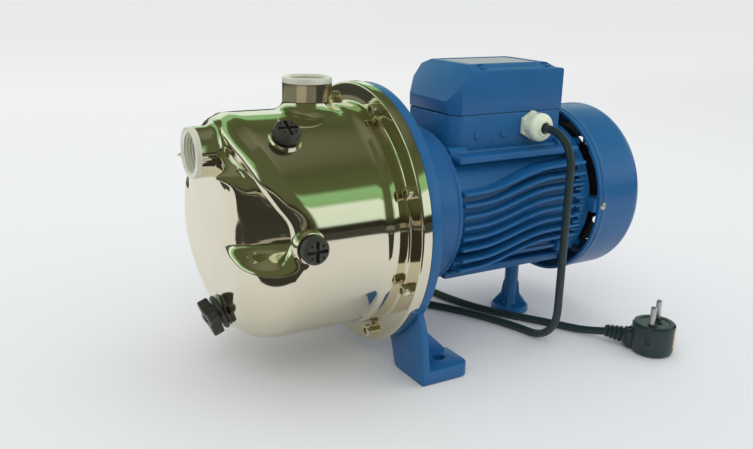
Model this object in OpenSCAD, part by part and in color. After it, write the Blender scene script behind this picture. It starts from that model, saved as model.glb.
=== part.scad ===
// Shallow well jet pump: a stainless pump casing on a cast bracket, driven by a fan cooled motor.
// X runs along the shaft towards the fan, Z is up, and the origin is on the ground between
// the two bolt holes of the bracket's feet.

/* [Pump] */
// Height of the shaft above the ground
axis_h = 121; // [118:0.5:126]
// Outer radius of the casing's cylinder
casing_r = 90.5; // [88:0.5:92]
// Thickness of the casing's sheet
casing_wall = 2; // [1.5:0.5:3]
// Place of the casing's front along the shaft
casing_front = -160; // [-164:1:-156]
// Radius that joins the casing's front to its cylinder
casing_corner = 36; // [30:1:40]
// Outer radius of the casing's flange
flange_r = 109.5; // [108:0.5:112]
// Pitch radius of the flange screws
screw_pitch_r = 100; // [99:0.5:102]
// Number of flange screws
screw_count = 8; // [6:1:10]

/* [Ports] */
// Outer radius of a pipe port
port_r = 19.5; // [18.5:0.5:21]
// Radius of the threaded hole in a pipe port
port_bore_r = 15.15; // [14:0.05:16]
// Height of the suction port above the shaft
suction_h = 62.5; // [60:0.5:64]
// Place of the suction port's face along the shaft
suction_face = -178.3; // [-182:0.1:-174]
// Place of the discharge port along the shaft
discharge_x = -80.6; // [-84:0.1:-77]
// Height of the discharge port's face above the shaft
discharge_h = 115.5; // [112:0.5:120]

/* [Bracket] */
// Outer radius of the bracket's flange
bracket_r = 108.5; // [106:0.5:109]
// Distance from the middle to each foot's bolt hole
foot_hole_y = 81; // [78:1:84]
// Radius of a foot's bolt hole
foot_hole_r = 5.5; // [4:0.5:6.5]

/* [Motor] */
// Radius of the motor housing under its fins
housing_r = 62; // [60:0.5:63]
// Reach of the middle fins to each side of the shaft
fin_y = 68.5; // [66:0.5:70]
// Front end of the motor housing
housing_front = 28; // [26:1:30]
// Rear end of the motor housing
housing_rear = 164; // [162:1:166]
// Radius of the shaft at its bearings
shaft_r = 8.5; // [8:0.5:9]
// Radius of the rotor
rotor_r = 30; // [28:0.5:31]
// Outer radius of the fan cover
cover_r = 79; // [77:0.5:80]
// Front edge of the fan cover
cover_front = 168; // [167:1:170]
// Rear face of the fan cover
cover_rear = 224; // [220:0.5:226]
// Place of the motor's rear foot
foot_x = 141.4; // [136:0.2:146]

/* [Terminal box] */
// Half of the box's width
box_half = 37.7; // [36:0.1:39]
// Front of the box's base
box_front = 43; // [42:0.5:44]
// Rear of the box
box_rear = 152; // [150:0.5:154]
// Height of the joint between base and lid above the shaft
box_split = 82.5; // [80:0.5:84]
// Height of the lid's top above the shaft
box_top = 123.2; // [120:0.2:125]

/* [Cord] */
// Diameter of the mains lead
cord_d = 7; // [6:0.5:8]

/* [Hidden] */
fine = 96;
medium = 48;
coarse = 24;

// Colours
steel = "silver";
blue = "royalblue";
dark = "darkslategray";

// Joint between casing and bracket
casing_back = -30.5;
bracket_face = -29.5;
bracket_back = -20;
flange_front = -39;
screw_head_r = 5;
screw_head_l = 6.6;
screw_r = 3;

// Threaded plugs: all three share one clearance between thread and boss
plug_gap = 0.06;
plug_thread_r = 6;
plug_x = -121.5;
filler_angle = 58;
plug_head_r = 10.6;
plug_head_l = 8;
boss_r = 11.8;
boss_face = 92.5;
seal_l = 1.6;
seal_slack = 0.1;
side_plug_h = 7;
drain_angle = 22;
drain_x = casing_front + casing_corner;
drain_z = casing_r - casing_corner;
drain_boss = 33;
drain_thread_r = 7;
drain_head_r = 14.4;

// Suction duct between the port and the ejector
duct_x = -131;

// Bearings
bearing_r = 20;
bearing_w = 12;
bearing_front_x = 8;
bearing_rear_x = 156;
inner_ring_r = 11.8;
outer_ring_in = 16.6;
ball_r = 2.2;
ball_count = 9;

// Radius over the tips of the outer fins
fin_corner_r = 74;

// Tie bolts that hold the two end shields on the housing
tie_r = 2;
tie_pitch_r = 65.1;

// Terminal box and gland
box_floor = 53;
box_wall = 2.5;
gland_x = 118;
gland_z = 70;
gland_hole_r = 8.1;
lid_screw_spots = [[66, -31], [136, -31], [66, 31], [136, 31]];
lid_screw_r = 2;
lid_seat = 119.8;

// Lead: the route's points lie on the cord's middle line
cord_r = cord_d / 2;
lead_route = [[118, -61, 191], [118, -65, 191], [118, -71.5, 190], [118, -78, 187.2],
    [118, -83.8, 182.8], [118, -88.2, 177], [118, -91, 170], [118, -92, 163], [118, -92, 150],
    [118, -92, 130], [118, -92, 110], [118, -92, 90], [118, -92, 70], [118, -92, 50],
    [118, -92, 36], [118, -90.4, 25.7], [118, -85.9, 16.8], [117.8, -78.8, 9.7],
    [117.3, -70, 5.2], [116, -60, 3.6], [114, -51, 3.6], [111, -42, 3.6], [107, -30, 3.6],
    [101.5, -16, 3.6], [94.5, -1, 3.6], [86.5, 13, 3.6], [78, 27, 3.6], [69, 41, 3.6],
    [59.5, 55, 3.6], [50, 68.5, 3.6], [40.5, 82, 3.6], [32, 94, 3.6], [24, 106, 3.6]];
tail_route = [[88.5, 114, 10.4], [88.6, 108, 9.9], [89, 98, 8.6], [90, 86, 6.7],
    [91.6, 74, 4.9], [93.6, 62, 3.9], [96, 50, 3.6], [100, 34, 3.6], [105, 18, 3.6],
    [111, 4, 3.6], [118, -9, 3.6], [126.5, -23, 3.6], [136, -37, 3.6], [145.5, -51, 3.6],
    [153, -64, 3.7], [160, -78, 4.4], [166, -90, 6.3], [171, -100, 8.6]];
coil_x = 52;
coil_y = 138;
coil_in = 29;
coil_out = 43.5;
coil_top = 13.4;

// Plug: its relief starts where the tail ends
plug_at = [171, -100, 9.5];
plug_turn = -62;
plug_tilt = 0;

// Points along an arc in a plane
function arc(cx, cy, r, from, to, n = 8) =
    [for (i = [0 : n]) let (a = from + (to - from) * i / n) [cx + r * cos(a), cy + r * sin(a)]];

// Height of a wavy fin above its own line, at the share t of its length
function wave(t) = 13 * (t < 0.12 ? 0 : t > 0.72 ? 1 : 0.5 - 0.5 * cos(180 * (t - 0.12) / 0.6))
    + 3 * t;

// Direction and sides of a swept tube at point i of a route
function unit(v) = v / norm(v);
function along(p, i) = unit(p[min(i + 1, len(p) - 1)] - p[max(i - 1, 0)]);
function side_of(p, i) = unit(cross(along(p, i), [0.94, 0.34, 0.02]));
function ring_point(p, i, r, a) = let (s = side_of(p, i), u = cross(along(p, i), s))
    p[i] + r * (cos(a) * s + sin(a) * u);

module turned(profile, sides = fine) {
    translate([0, 0, axis_h]) rotate([0, 90, 0]) rotate_extrude($fn = sides) polygon(profile);
}

module rod_x(from, to, r, sides = medium) {
    translate([from, 0, axis_h]) rotate([0, 90, 0]) cylinder(h = to - from, r = r, $fn = sides);
}

module ring_x(from, to, out, in, sides = fine) {
    turned([[in, from], [out, from], [out, to], [in, to]], sides);
}

// Places children on a radial axis of the casing: their +Z points outwards
module on_casing(x, angle) {
    translate([x, 0, axis_h]) rotate([90 - angle, 0, 0]) children();
}

// Places children on the drain axis, with +Z pointing outwards
module on_drain() {
    translate([drain_x, 0, axis_h - drain_z]) rotate([0, -90 - drain_angle, 0]) children();
}

module around_flange(r) {
    for (i = [0 : screw_count - 1])
        translate([0, 0, axis_h]) rotate([(i + 0.5) * 360 / screw_count, 0, 0])
            translate([0, 0, r]) rotate([0, 90, 0]) children();
}

module swept(p, r, sides = 8) {
    last = len(p) - 1;
    polyhedron(
        points = [for (i = [0 : last]) for (k = [0 : sides - 1])
            ring_point(p, i, r, 360 * (k + 0.5) / sides)],
        faces = concat(
            [[for (k = [0 : sides - 1]) k]],
            [[for (k = [sides - 1 : -1 : 0]) last * sides + k]],
            [for (i = [0 : last - 1]) for (k = [0 : sides - 1]) let (n = (k + 1) % sides)
                [i * sides + k, (i + 1) * sides + k, (i + 1) * sides + n, i * sides + n]]));
}

module pump_casing() {
    t = casing_wall;
    c = casing_corner;
    lip = 3;
    bead_r = casing_r + 2;
    fillet = 2.2;
    color(steel) difference() {
        union() {
            turned(concat(
                [[0, casing_front]],
                arc(casing_r - c, casing_front + c, c, 270, 360, 10),
                [[casing_r, -56], [bead_r, -53]],
                arc(bead_r + fillet, flange_front - fillet, fillet, 180, 90, 4),
                [[flange_r - 2, flange_front], [flange_r, flange_front + 2],
                    [flange_r, casing_back], [flange_r - lip, casing_back],
                    [flange_r - lip, flange_front + t + 0.5],
                    [screw_pitch_r + 5.5, flange_front + t + 0.5],
                    [screw_pitch_r + 5.5, casing_back], [bead_r - t, casing_back],
                    [bead_r - t, -53 + 0.8], [casing_r - t, -56 + 0.8]],
                arc(casing_r - c, casing_front + c, c - t, 360, 270, 10),
                [[0, casing_front + t]]));
            translate([discharge_x, 0, axis_h + casing_r - 4])
                cylinder(h = 10, r1 = port_r + 8, r2 = port_r + 2, $fn = medium);
            on_casing(plug_x, filler_angle) translate([0, 0, casing_r - 6])
                cylinder(h = boss_face - casing_r + 6, r = boss_r, $fn = medium);
            on_casing(plug_x, 0) translate([0, side_plug_h, casing_r - 6])
                cylinder(h = boss_face - casing_r + 6, r = boss_r, $fn = medium);
            translate([casing_front - 6, 0, axis_h + suction_h]) rotate([0, 90, 0])
                cylinder(h = 12, r = port_r + 2.5, $fn = medium);
            on_drain() translate([0, 0, casing_corner - 8])
                cylinder(h = drain_boss - casing_corner + 8, r = drain_head_r + 2, $fn = medium);
        }
        translate([casing_front - 20, 0, axis_h + suction_h]) rotate([0, 90, 0])
            cylinder(h = 60, r = port_r, $fn = medium);
        translate([discharge_x, 0, axis_h + casing_r - 15])
            cylinder(h = 40, r = port_r, $fn = medium);
        on_casing(plug_x, filler_angle)
            cylinder(h = 200, r = plug_thread_r + plug_gap, $fn = medium);
        on_casing(plug_x, 0) translate([0, side_plug_h, 20])
            cylinder(h = 200, r = plug_thread_r + plug_gap, $fn = medium);
        on_drain() cylinder(h = 60, r = drain_thread_r + plug_gap, $fn = medium);
        on_drain() translate([0, 0, drain_boss]) cylinder(h = 30, r = 24, $fn = medium);
        around_flange(screw_pitch_r) translate([0, 0, flange_front - 5])
            cylinder(h = 20, r = screw_r, $fn = coarse);
    }
}

module port_ring(length) {
    difference() {
        cylinder(h = length, r = port_r, $fn = medium);
        translate([0, 0, -1]) cylinder(h = length + 2, r = port_bore_r, $fn = medium);
    }
}

module suction_port() {
    color(steel) translate([suction_face, 0, axis_h + suction_h]) rotate([0, 90, 0])
        port_ring(30);
}

module discharge_port() {
    length = discharge_h - casing_r + 12;
    color(steel) translate([discharge_x, 0, axis_h + discharge_h - length]) port_ring(length);
}

// A screwed plug: a round head with a cross slot above a plain shank
module slotted_plug(base, shank) {
    difference() {
        union() {
            translate([0, 0, base]) cylinder(h = plug_head_l, r = plug_head_r, $fn = medium);
            translate([0, 0, base - shank]) cylinder(h = shank, r = plug_thread_r, $fn = medium);
        }
        for (a = [0, 90])
            translate([0, 0, base + plug_head_l]) rotate([0, 0, a])
                cube([16, 2.4, 5], center = true);
    }
}

module plug_seal(base) {
    difference() {
        translate([0, 0, base]) cylinder(h = seal_l, r = 9.6, $fn = medium);
        translate([0, 0, base - 1])
            cylinder(h = seal_l + 2, r = plug_thread_r + 0.3, $fn = medium);
    }
}

seal_base = boss_face + seal_slack;
head_base = seal_base + seal_l + seal_slack;

module filler_plug() {
    color(dark) on_casing(plug_x, filler_angle) slotted_plug(head_base, 14);
}

module filler_seal() {
    color("black") on_casing(plug_x, filler_angle) plug_seal(seal_base);
}

module side_plug() {
    color(dark) on_casing(plug_x, 0) translate([0, side_plug_h, 0])
        slotted_plug(head_base, 14);
}

module side_seal() {
    color("black") on_casing(plug_x, 0) translate([0, side_plug_h, 0]) plug_seal(seal_base);
}

module drain_plug() {
    head = drain_boss + seal_slack * 2 + 2.5;
    color(dark) on_drain() difference() {
        union() {
            translate([0, 0, head - 14]) cylinder(h = 14, r = drain_thread_r, $fn = medium);
            translate([0, 0, head]) cylinder(h = 3, r = drain_head_r, $fn = medium);
            translate([0, 0, head + 3]) cylinder(h = 8, r = 9, $fn = medium);
            for (a = [0, 90])
                translate([0, 0, head + 9]) rotate([0, 0, a + 20])
                    cube([31, 8, 9], center = true);
        }
        translate([0, 0, head - 20]) cylinder(h = 16, r = 3, $fn = coarse);
    }
}

module drain_gasket() {
    color("black") on_drain() difference() {
        translate([0, 0, drain_boss + seal_slack]) cylinder(h = 2.5, r = 13.5, $fn = medium);
        cylinder(h = 60, r = drain_thread_r + 0.3, $fn = medium);
    }
}

module flange_screws() {
    color("goldenrod") around_flange(screw_pitch_r) difference() {
        union() {
            translate([0, 0, flange_front - screw_head_l])
                cylinder(h = screw_head_l, r = screw_head_r, $fn = coarse);
            translate([0, 0, flange_front]) cylinder(h = 17, r = screw_r, $fn = coarse);
        }
        translate([0, 0, flange_front - screw_head_l - 1]) cylinder(h = 5, r = 2.9, $fn = 6);
    }
}

module casing_gasket() {
    color("black") difference() {
        ring_x(casing_back, bracket_face, flange_r - 3.5, casing_r + 1);
        around_flange(screw_pitch_r) translate([0, 0, flange_front])
            cylinder(h = 20, r = screw_r, $fn = coarse);
    }
}

module bracket_leg(side) {
    foot_in = 62;
    foot_out = 100;
    foot_h = 12;
    foot_end = 19;
    leg_front = -27;
    plate = 6;
    mirror([0, side < 0 ? 1 : 0, 0]) {
        translate([leg_front, 0, 0]) rotate([90, 0, 90]) linear_extrude(plate)
            polygon([[40, 46], [50, 20], [58, 0], [foot_out, 0], [foot_out, 16], [95, 44],
                [84, 66], [60, 70]]);
        translate([leg_front, foot_in, 0]) cube([foot_end - leg_front - 10, foot_out - foot_in, foot_h]);
        hull() {
            translate([foot_end - 8, foot_in + 8, 0]) cylinder(h = foot_h, r = 8, $fn = 32);
            translate([foot_end - 8, foot_out - 8, 0]) cylinder(h = foot_h, r = 8, $fn = 32);
            translate([leg_front + 20, foot_in, 0])
                cube([4, foot_out - foot_in, foot_h]);
        }
        translate([0, foot_in + 7, 0]) rotate([90, 0, 0]) linear_extrude(7)
            polygon([[leg_front + 2, foot_h - 1], [foot_end - 3, foot_h - 1], [leg_front + 2, 52]]);
    }
}

module pump_bracket() {
    hub_r = 27;
    color(blue) difference() {
        union() {
            ring_x(bracket_face, bracket_back, bracket_r, 15);
            ring_x(bracket_back - 0.5, -5, 52, 45);
            turned([[bearing_r + 0.02, -6], [67, -6], [68.5, -4], [68.5, housing_front],
                [housing_r + 0.2, housing_front], [housing_r + 0.2, 3], [hub_r, 3], [hub_r, 20],
                [bearing_r + 0.02, 20]]);
            for (a = [45 : 90 : 315])
                translate([0, 0, axis_h]) rotate([a, 0, 0]) translate([bracket_back - 0.5, -4, 48])
                    cube([20, 8, 18]);
            bracket_leg(1);
            bracket_leg(-1);
        }
        for (s = [-1, 1])
            translate([0, s * foot_hole_y, -1]) cylinder(h = 20, r = foot_hole_r, $fn = medium);
        around_flange(screw_pitch_r) translate([0, 0, flange_front])
            cylinder(h = 17, r = screw_r, $fn = coarse);
        tie_bolt_places() translate([0, 0, -10]) cylinder(h = 60, r = tie_r, $fn = coarse);
    }
}

module suction_duct() {
    inner_r = 14;
    outer_r = 16.5;
    color("dimgray") difference() {
        union() {
            translate([suction_face + 30, 0, axis_h + suction_h]) rotate([0, 90, 0])
                cylinder(h = duct_x - suction_face - 30, r = outer_r, $fn = medium);
            translate([duct_x, 0, axis_h + suction_h]) sphere(r = outer_r, $fn = medium);
            translate([duct_x, 0, axis_h + 25]) cylinder(h = suction_h - 25, r = outer_r, $fn = medium);
        }
        translate([suction_face + 29, 0, axis_h + suction_h]) rotate([0, 90, 0])
            cylinder(h = duct_x - suction_face - 29, r = inner_r, $fn = medium);
        translate([duct_x, 0, axis_h + suction_h]) sphere(r = inner_r, $fn = medium);
        translate([duct_x, 0, axis_h + 24]) cylinder(h = suction_h - 24, r = inner_r, $fn = medium);
    }
}

module ejector_body() {
    color("dimgray") difference() {
        union() {
            rod_x(-156, -112, 20);
            rod_x(-112.5, -108, 24);
            translate([duct_x, 0, axis_h]) cylinder(h = 25, r = 19, $fn = medium);
        }
        rod_x(-160, -143, 8);
        rod_x(-143.5, -114, 15);
        rod_x(-115, -100, 11.5);
        translate([duct_x, 0, axis_h]) cylinder(h = 30, r = 14, $fn = medium);
    }
}

module nozzle() {
    color("brown") turned([[3.2, -158], [7.95, -158], [7.95, -143], [7, -142], [5.2, -126],
        [3.2, -126]], medium);
}

module venturi_tube() {
    color("dimgray") turned([[7, -120], [11.4, -120], [11.4, -107], [16, -80], [19.5, -60],
        [17.5, -60], [13.5, -80], [8, -104]], medium);
}

module diffuser() {
    color("gray") {
        turned([[19.6, -61], [78, -61], [80, -59], [80, -31.5], [76, -31.5], [76, -57],
            [66, -57.5], [66, -58.5], [19.6, -58.5]]);
        for (i = [0 : 7])
            translate([0, 0, axis_h]) rotate([i * 45, 0, 0]) translate([-57.5, -1.2, 66])
                cube([20, 2.4, 10.5]);
    }
}

module impeller() {
    vane_r = 34;
    color("peru") {
        ring_x(-40, -37.6, 62, 7.5);
        ring_x(-56, -54, 62, 19);
        ring_x(-50, -38, 12, 7.5);
        for (i = [0 : 5])
            translate([0, 0, axis_h]) rotate([i * 60, 0, 0]) rotate([0, 90, 0])
                translate([0, 0, -55]) linear_extrude(16) intersection() {
                    difference() {
                        translate([0, vane_r]) circle(r = vane_r, $fn = medium);
                        translate([0, vane_r]) circle(r = vane_r - 2.2, $fn = medium);
                    }
                    translate([0, 0]) difference() {
                        circle(r = 61, $fn = medium);
                        circle(r = 16, $fn = medium);
                        translate([-80, -80]) square([80, 160]);
                    }
                }
    }
}

module impeller_nut() {
    color("gold") difference() {
        rod_x(-57, -50, 6.5, 6);
        rod_x(-60, -45, 4, coarse);
    }
}

module seal_rotary() {
    color("black") ring_x(-28, -24, 13, 8.6);
}

module seal_seat() {
    color("white") ring_x(-23.8, -20.5, 14.9, 9);
}

module seal_spring() {
    color(steel) ring_x(-37.2, -28.1, 11, 9.2);
}

module shaft() {
    color("lightgray") union() {
        rod_x(-58, -49, 4);
        rod_x(-49.5, -37, 7.4);
        rod_x(-37.4, 175, shaft_r);
        rod_x(174, 206, 7);
    }
}

module slinger() {
    color("black") ring_x(-14, -11, 16, shaft_r);
}

module at_bearings() {
    for (x = [bearing_front_x, bearing_rear_x])
        translate([x, 0, 0]) children();
}

module bearing_outer_rings() {
    color(steel) at_bearings() turned([[outer_ring_in, 0], [bearing_r, 0],
        [bearing_r, bearing_w], [outer_ring_in, bearing_w], [outer_ring_in, bearing_w / 2 + 2]]);
}

module bearing_balls() {
    mid = (inner_ring_r + outer_ring_in) / 2;
    color(steel) at_bearings()
        for (i = [0 : ball_count - 1])
            translate([bearing_w / 2, 0, axis_h]) rotate([i * 360 / ball_count, 0, 0])
                translate([0, 0, mid]) sphere(r = ball_r, $fn = coarse);
}

module bearing_inner_rings() {
    color(steel) at_bearings() ring_x(0, bearing_w, inner_ring_r, shaft_r);
}

module rotor_core() {
    color("gray") {
        ring_x(50, 130, rotor_r, shaft_r);
        ring_x(46, 50, rotor_r - 1, 14);
        ring_x(130, 134, rotor_r - 1, 14);
    }
}

module stator_core() {
    color("slategray") ring_x(50, 130, 56, rotor_r + 0.5);
}

module windings() {
    color("chocolate") for (x = [34, 130.2])
        turned([[36, x + 1], [38, x], [52, x], [54, x + 2], [54, x + 13.8], [52, x + 15.8],
            [38, x + 15.8], [36, x + 14]]);
}

module wavy_fin(height) {
    steps = 14;
    from = housing_front + 4;
    to = housing_rear - 6;
    fin_t = 2.6;
    reach = min(fin_y, sqrt(fin_corner_r ^ 2 - (height + 8) ^ 2));
    line = [for (i = [0 : steps]) [from + (to - from) * i / steps, height + wave(i / steps)]];
    translate([0, reach, axis_h]) rotate([90, 0, 0]) linear_extrude(2 * reach)
        polygon(concat([for (p = line) p + [0, fin_t / 2]],
            [for (i = [steps : -1 : 0]) line[i] - [0, fin_t / 2]]));
}

module tie_bolt_places() {
    for (a = [38 : 90 : 308])
        translate([0, 0, axis_h]) rotate([a, 0, 0]) translate([0, 0, tie_pitch_r])
            rotate([0, 90, 0]) children();
}

module motor_housing() {
    fin_lines = [-44, -34.5, -25, -15.5, -6, 3.5, 13, 22.5];
    color(blue) difference() {
        union() {
            rod_x(housing_front, housing_rear, housing_r, fine);
            for (h = fin_lines) wavy_fin(h);
            ring_x(housing_rear - 7, housing_rear, 68, 60);
            translate([housing_front + 2, -57, axis_h + 45])
                cube([housing_rear - housing_front - 6, 114, 6]);
            translate([box_front - 5, -box_half + 2, axis_h + 40])
                cube([box_rear - box_front + 8, 2 * box_half - 4, box_floor - 40.2]);
            translate([housing_front + 2, -42, axis_h - 58])
                cube([housing_rear - housing_front - 6, 84, 8]);
            translate([foot_x, 0, 55]) cylinder(h = 12, r = 9, $fn = medium);
            tie_bolt_places() translate([0, 0, housing_front + 0.6])
                cylinder(h = 18, r = 5.5, $fn = coarse);
            tie_bolt_places() translate([0, 0, housing_rear - 18.6])
                cylinder(h = 18, r = 5.5, $fn = coarse);
        }
        rod_x(housing_front - 1, housing_rear + 1, 56.02, fine);
        tie_bolt_places() cylinder(h = 200, r = tie_r, $fn = coarse);
        translate([foot_x, 0, 50]) cylinder(h = 18, r = 3, $fn = coarse);
        translate([95, 0, axis_h + 40]) cylinder(h = 30, r = 10, $fn = coarse);
    }
}

module rear_shield() {
    color(blue) difference() {
        union() {
            ring_x(housing_rear, housing_rear + 6, 68, 12);
            ring_x(housing_rear - 10, housing_rear + 1, bearing_r + 6, bearing_r + 0.02);
            for (a = [0 : 90 : 270])
                translate([0, 0, axis_h]) rotate([a, 0, 0])
                    translate([housing_rear + 0.5, -6, 60]) cube([14, 12, cover_r - 62]);
        }
        tie_bolt_places() translate([0, 0, housing_rear - 5])
            cylinder(h = 30, r = tie_r, $fn = coarse);
        rod_x(housing_rear - 20, bearing_rear_x + bearing_w + 0.02, bearing_r + 0.02, medium);
        for (a = [0 : 90 : 270])
            translate([cover_front + 5, 0, axis_h]) rotate([a, 0, 0])
                translate([0, 0, 66]) cylinder(h = 20, r = 2, $fn = coarse);
    }
}

module wave_washer() {
    color(steel) ring_x(bearing_rear_x - 1.6, bearing_rear_x - 0.2, 19.5, 16.8);
}

module tie_bolts() {
    color(steel) tie_bolt_places() {
        translate([0, 0, -4]) cylinder(h = housing_rear + 6 + 4, r = tie_r, $fn = coarse);
        translate([0, 0, housing_rear + 6]) cylinder(h = 3, r = 4.5, $fn = 6);
    }
}

module fan() {
    color(dark) union() {
        ring_x(181, 199, 12, 7);
        ring_x(181, 183, 62, 11);
        for (i = [0 : 7])
            translate([0, 0, axis_h]) rotate([i * 45, 0, 0]) translate([181, -1, 11])
                cube([30, 2, 50]);
    }
}

module fan_clip() {
    color(steel) ring_x(199.2, 200.4, 10, 7, medium);
}

module fan_cover() {
    t = 1.6;
    c = 11;
    color(blue) difference() {
        turned(concat(
            [[cover_r, cover_front]],
            arc(cover_r - c, cover_rear - c, c, 0, 90, 6),
            [[0, cover_rear], [0, cover_rear - t]],
            arc(cover_r - c, cover_rear - c, c - t, 90, 0, 6),
            [[cover_r - t, cover_front]]));
        for (row = [0 : 3]) for (i = [0 : 3 + 2 * row])
            let (share = 360 / (4 + 2 * row))
            translate([cover_rear - 5, 0, axis_h]) rotate([0, 90, 0])
                rotate([0, 0, i * share]) rotate_extrude(angle = share - 150 / (14 + 13 * row), $fn = medium)
                    translate([12 + 13 * row, 0]) square([7, 10]);
        for (a = [0 : 90 : 270])
            translate([cover_front + 5, 0, axis_h]) rotate([a, 0, 0])
                translate([0, 0, 60]) cylinder(h = 40, r = 2, $fn = coarse);
    }
}

module fan_cover_screws() {
    color(steel) for (a = [0 : 90 : 270])
        translate([cover_front + 5, 0, axis_h]) rotate([a, 0, 0]) {
            translate([0, 0, 67]) cylinder(h = cover_r - 67, r = 2, $fn = coarse);
            translate([0, 0, cover_r]) cylinder(h = 1.6, r = 3.6, $fn = coarse);
        }
}

module motor_foot() {
    color(blue) difference() {
        union() {
            translate([foot_x, 0, 0]) cylinder(h = 6, r = 18, $fn = medium);
            translate([foot_x, 0, 5.5]) cylinder(h = 49.4, r = 6.5, $fn = medium);
            for (a = [45 : 90 : 315])
                translate([foot_x, 0, 5.5]) rotate([90, 0, a]) translate([0, 0, -2])
                    linear_extrude(4) polygon([[0, 0], [17, 0], [8.5, 11], [6.5, 24], [0, 24]]);
        }
        translate([foot_x, 0, 20]) cylinder(h = 40, r = 3, $fn = coarse);
    }
}

module foot_screw() {
    color(steel) translate([foot_x, 0, 22]) cylinder(h = 44, r = 3, $fn = coarse);
}

module box_shell(front, low, high) {
    difference() {
        translate([front, -box_half, axis_h + low]) cube([box_rear - front, 2 * box_half, high - low]);
        translate([front + box_wall, box_wall - box_half, axis_h + low + box_wall])
            cube([box_rear - front - 2 * box_wall, 2 * (box_half - box_wall), high - low]);
    }
}

module terminal_box() {
    saddle = 2.5;
    color(blue) difference() {
        union() {
            box_shell(box_front, box_floor, box_split - 0.5);
            intersection() {
                rod_x(box_front, box_rear, housing_r + saddle, fine);
                translate([box_front, -box_half, axis_h + box_floor])
                    cube([box_rear - box_front, 2 * box_half, 25]);
            }
        }
        rod_x(box_front - 1, box_rear + 1, housing_r + 0.05, fine);
        on_gland() translate([0, 0, -10]) cylinder(h = 15, r = gland_hole_r, $fn = medium);
        translate([95, 0, axis_h + 40]) cylinder(h = 30, r = 10, $fn = coarse);
    }
}

module box_gasket() {
    color("black") difference() {
        translate([box_front + 0.5, 0.5 - box_half, axis_h + box_split - 0.5])
            cube([box_rear - box_front - 1, 2 * box_half - 1, 0.5]);
        translate([box_front + box_wall, box_wall - box_half, axis_h + box_split - 2])
            cube([box_rear - box_front - 2 * box_wall, 2 * (box_half - box_wall), 4]);
    }
}

module lid_profile(inset) {
    offset(delta = -inset) polygon([[box_front, box_split], [box_front - 6, box_split + 2],
        [box_front - 9.6, box_split + 11.5], [54.4, box_top], [box_rear - 12, box_top],
        [box_rear - 9, box_top - 4], [box_rear, box_top - 5], [box_rear, box_split]]);
}

module lid_slab(inset, half, low, high) {
    translate([0, half, axis_h]) rotate([90, 0, 0]) linear_extrude(2 * half) intersection() {
        lid_profile(inset);
        translate([0, low]) square([200, high - low]);
    }
}

module box_lid() {
    shoulder_in = 27;
    shoulder_slope = 25;
    shoulder_low = 115;
    color(blue) difference() {
        lid_slab(0, box_half, 0, 200);
        lid_slab(box_wall, box_half - box_wall, box_split, shoulder_low);
        lid_slab(box_wall, shoulder_in - box_wall, box_split, 200);
        translate([box_front + box_wall, box_wall - box_half, axis_h + box_split - 1])
            cube([box_rear - box_front - 2 * box_wall, 2 * (box_half - box_wall), 10]);
        for (s = [-1, 1])
            translate([0, s * shoulder_in, axis_h + box_top]) rotate([-s * shoulder_slope, 0, 0])
                translate([0, s > 0 ? -10 : -30, 0]) cube([240, 40, 15]);
        translate([60, -23, axis_h + box_top - 1]) cube([74, 46, 3]);
        for (p = lid_screw_spots) translate([p[0], p[1], axis_h]) {
            translate([0, 0, 90]) cylinder(h = 50, r = lid_screw_r, $fn = coarse);
            translate([0, 0, lid_seat]) cylinder(h = 10, r = 4.2, $fn = coarse);
        }
    }
}

module lid_screws() {
    color(steel) for (p = lid_screw_spots)
        translate([p[0], p[1], axis_h + lid_seat]) {
            translate([0, 0, -8]) cylinder(h = 8, r = lid_screw_r, $fn = coarse);
            cylinder(h = 1.8, r = 3.4, $fn = coarse);
        }
}

module label_plate() {
    color("lightgray") translate([61, -22, axis_h + box_top - 1]) cube([72, 44, 0.6]);
}

module terminal_block() {
    color("white") translate([100, -14, axis_h + 65]) difference() {
        cube([36, 28, 12]);
        for (i = [0 : 2]) for (j = [0, 1])
            translate([7 + 11 * i, 8 + 12 * j, 4]) cylinder(h = 10, r = 2.2, $fn = coarse);
    }
}

module capacitor() {
    color("gray") translate([50, 12, axis_h + 84]) rotate([0, 90, 0])
        cylinder(h = 46, r = 16, $fn = medium);
}

module capacitor_clamp() {
    color(steel) translate([68, 0, axis_h]) difference() {
        translate([0, 12, 84]) rotate([0, 90, 0]) cylinder(h = 12, r = 17.2, $fn = medium);
        translate([-1, 12, 84]) rotate([0, 90, 0]) cylinder(h = 14, r = 16, $fn = medium);
    }
}

// Places children on the gland's axis, with +Z pointing out of the box
module on_gland() {
    translate([gland_x, -box_half, axis_h + gland_z]) rotate([90, 0, 0]) children();
}

module gland_body() {
    color("beige") on_gland() difference() {
        union() {
            cylinder(h = 5, r = 13.3, $fn = 6);
            translate([0, 0, -7]) cylinder(h = 8, r = gland_hole_r, $fn = medium);
            translate([0, 0, -6]) cylinder(h = 3.4, r = 11, $fn = 6);
            translate([0, 0, 4]) cylinder(h = 10, r = 9.5, $fn = medium);
        }
        translate([0, 0, -8]) cylinder(h = 30, r = 5.6, $fn = medium);
    }
}

module gland_seal() {
    color("black") on_gland() translate([0, 0, 4]) difference() {
        cylinder(h = 11, r = 5.6, $fn = medium);
        translate([0, 0, -1]) cylinder(h = 13, r = cord_r + 0.1, $fn = medium);
    }
}

module gland_nut() {
    color("beige") on_gland() difference() {
        rotate_extrude($fn = medium) polygon(concat([[9.5, 6], [12.5, 6], [12.5, 14]],
            arc(6.5, 14, 6, 0, 90, 5), [[4.6, 20], [4.6, 15.2], [9.5, 15.2]]));
        for (i = [0 : 5])
            rotate([0, 0, i * 60 + 30]) translate([12.1, -8, 5]) cube([4, 16, 6]);
    }
}

module cord_lead() {
    color(dark) union() {
        swept(lead_route, cord_r);
        on_gland() translate([0, 0, 5]) cylinder(h = 18.3, r = cord_r, $fn = coarse);
    }
}

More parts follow.
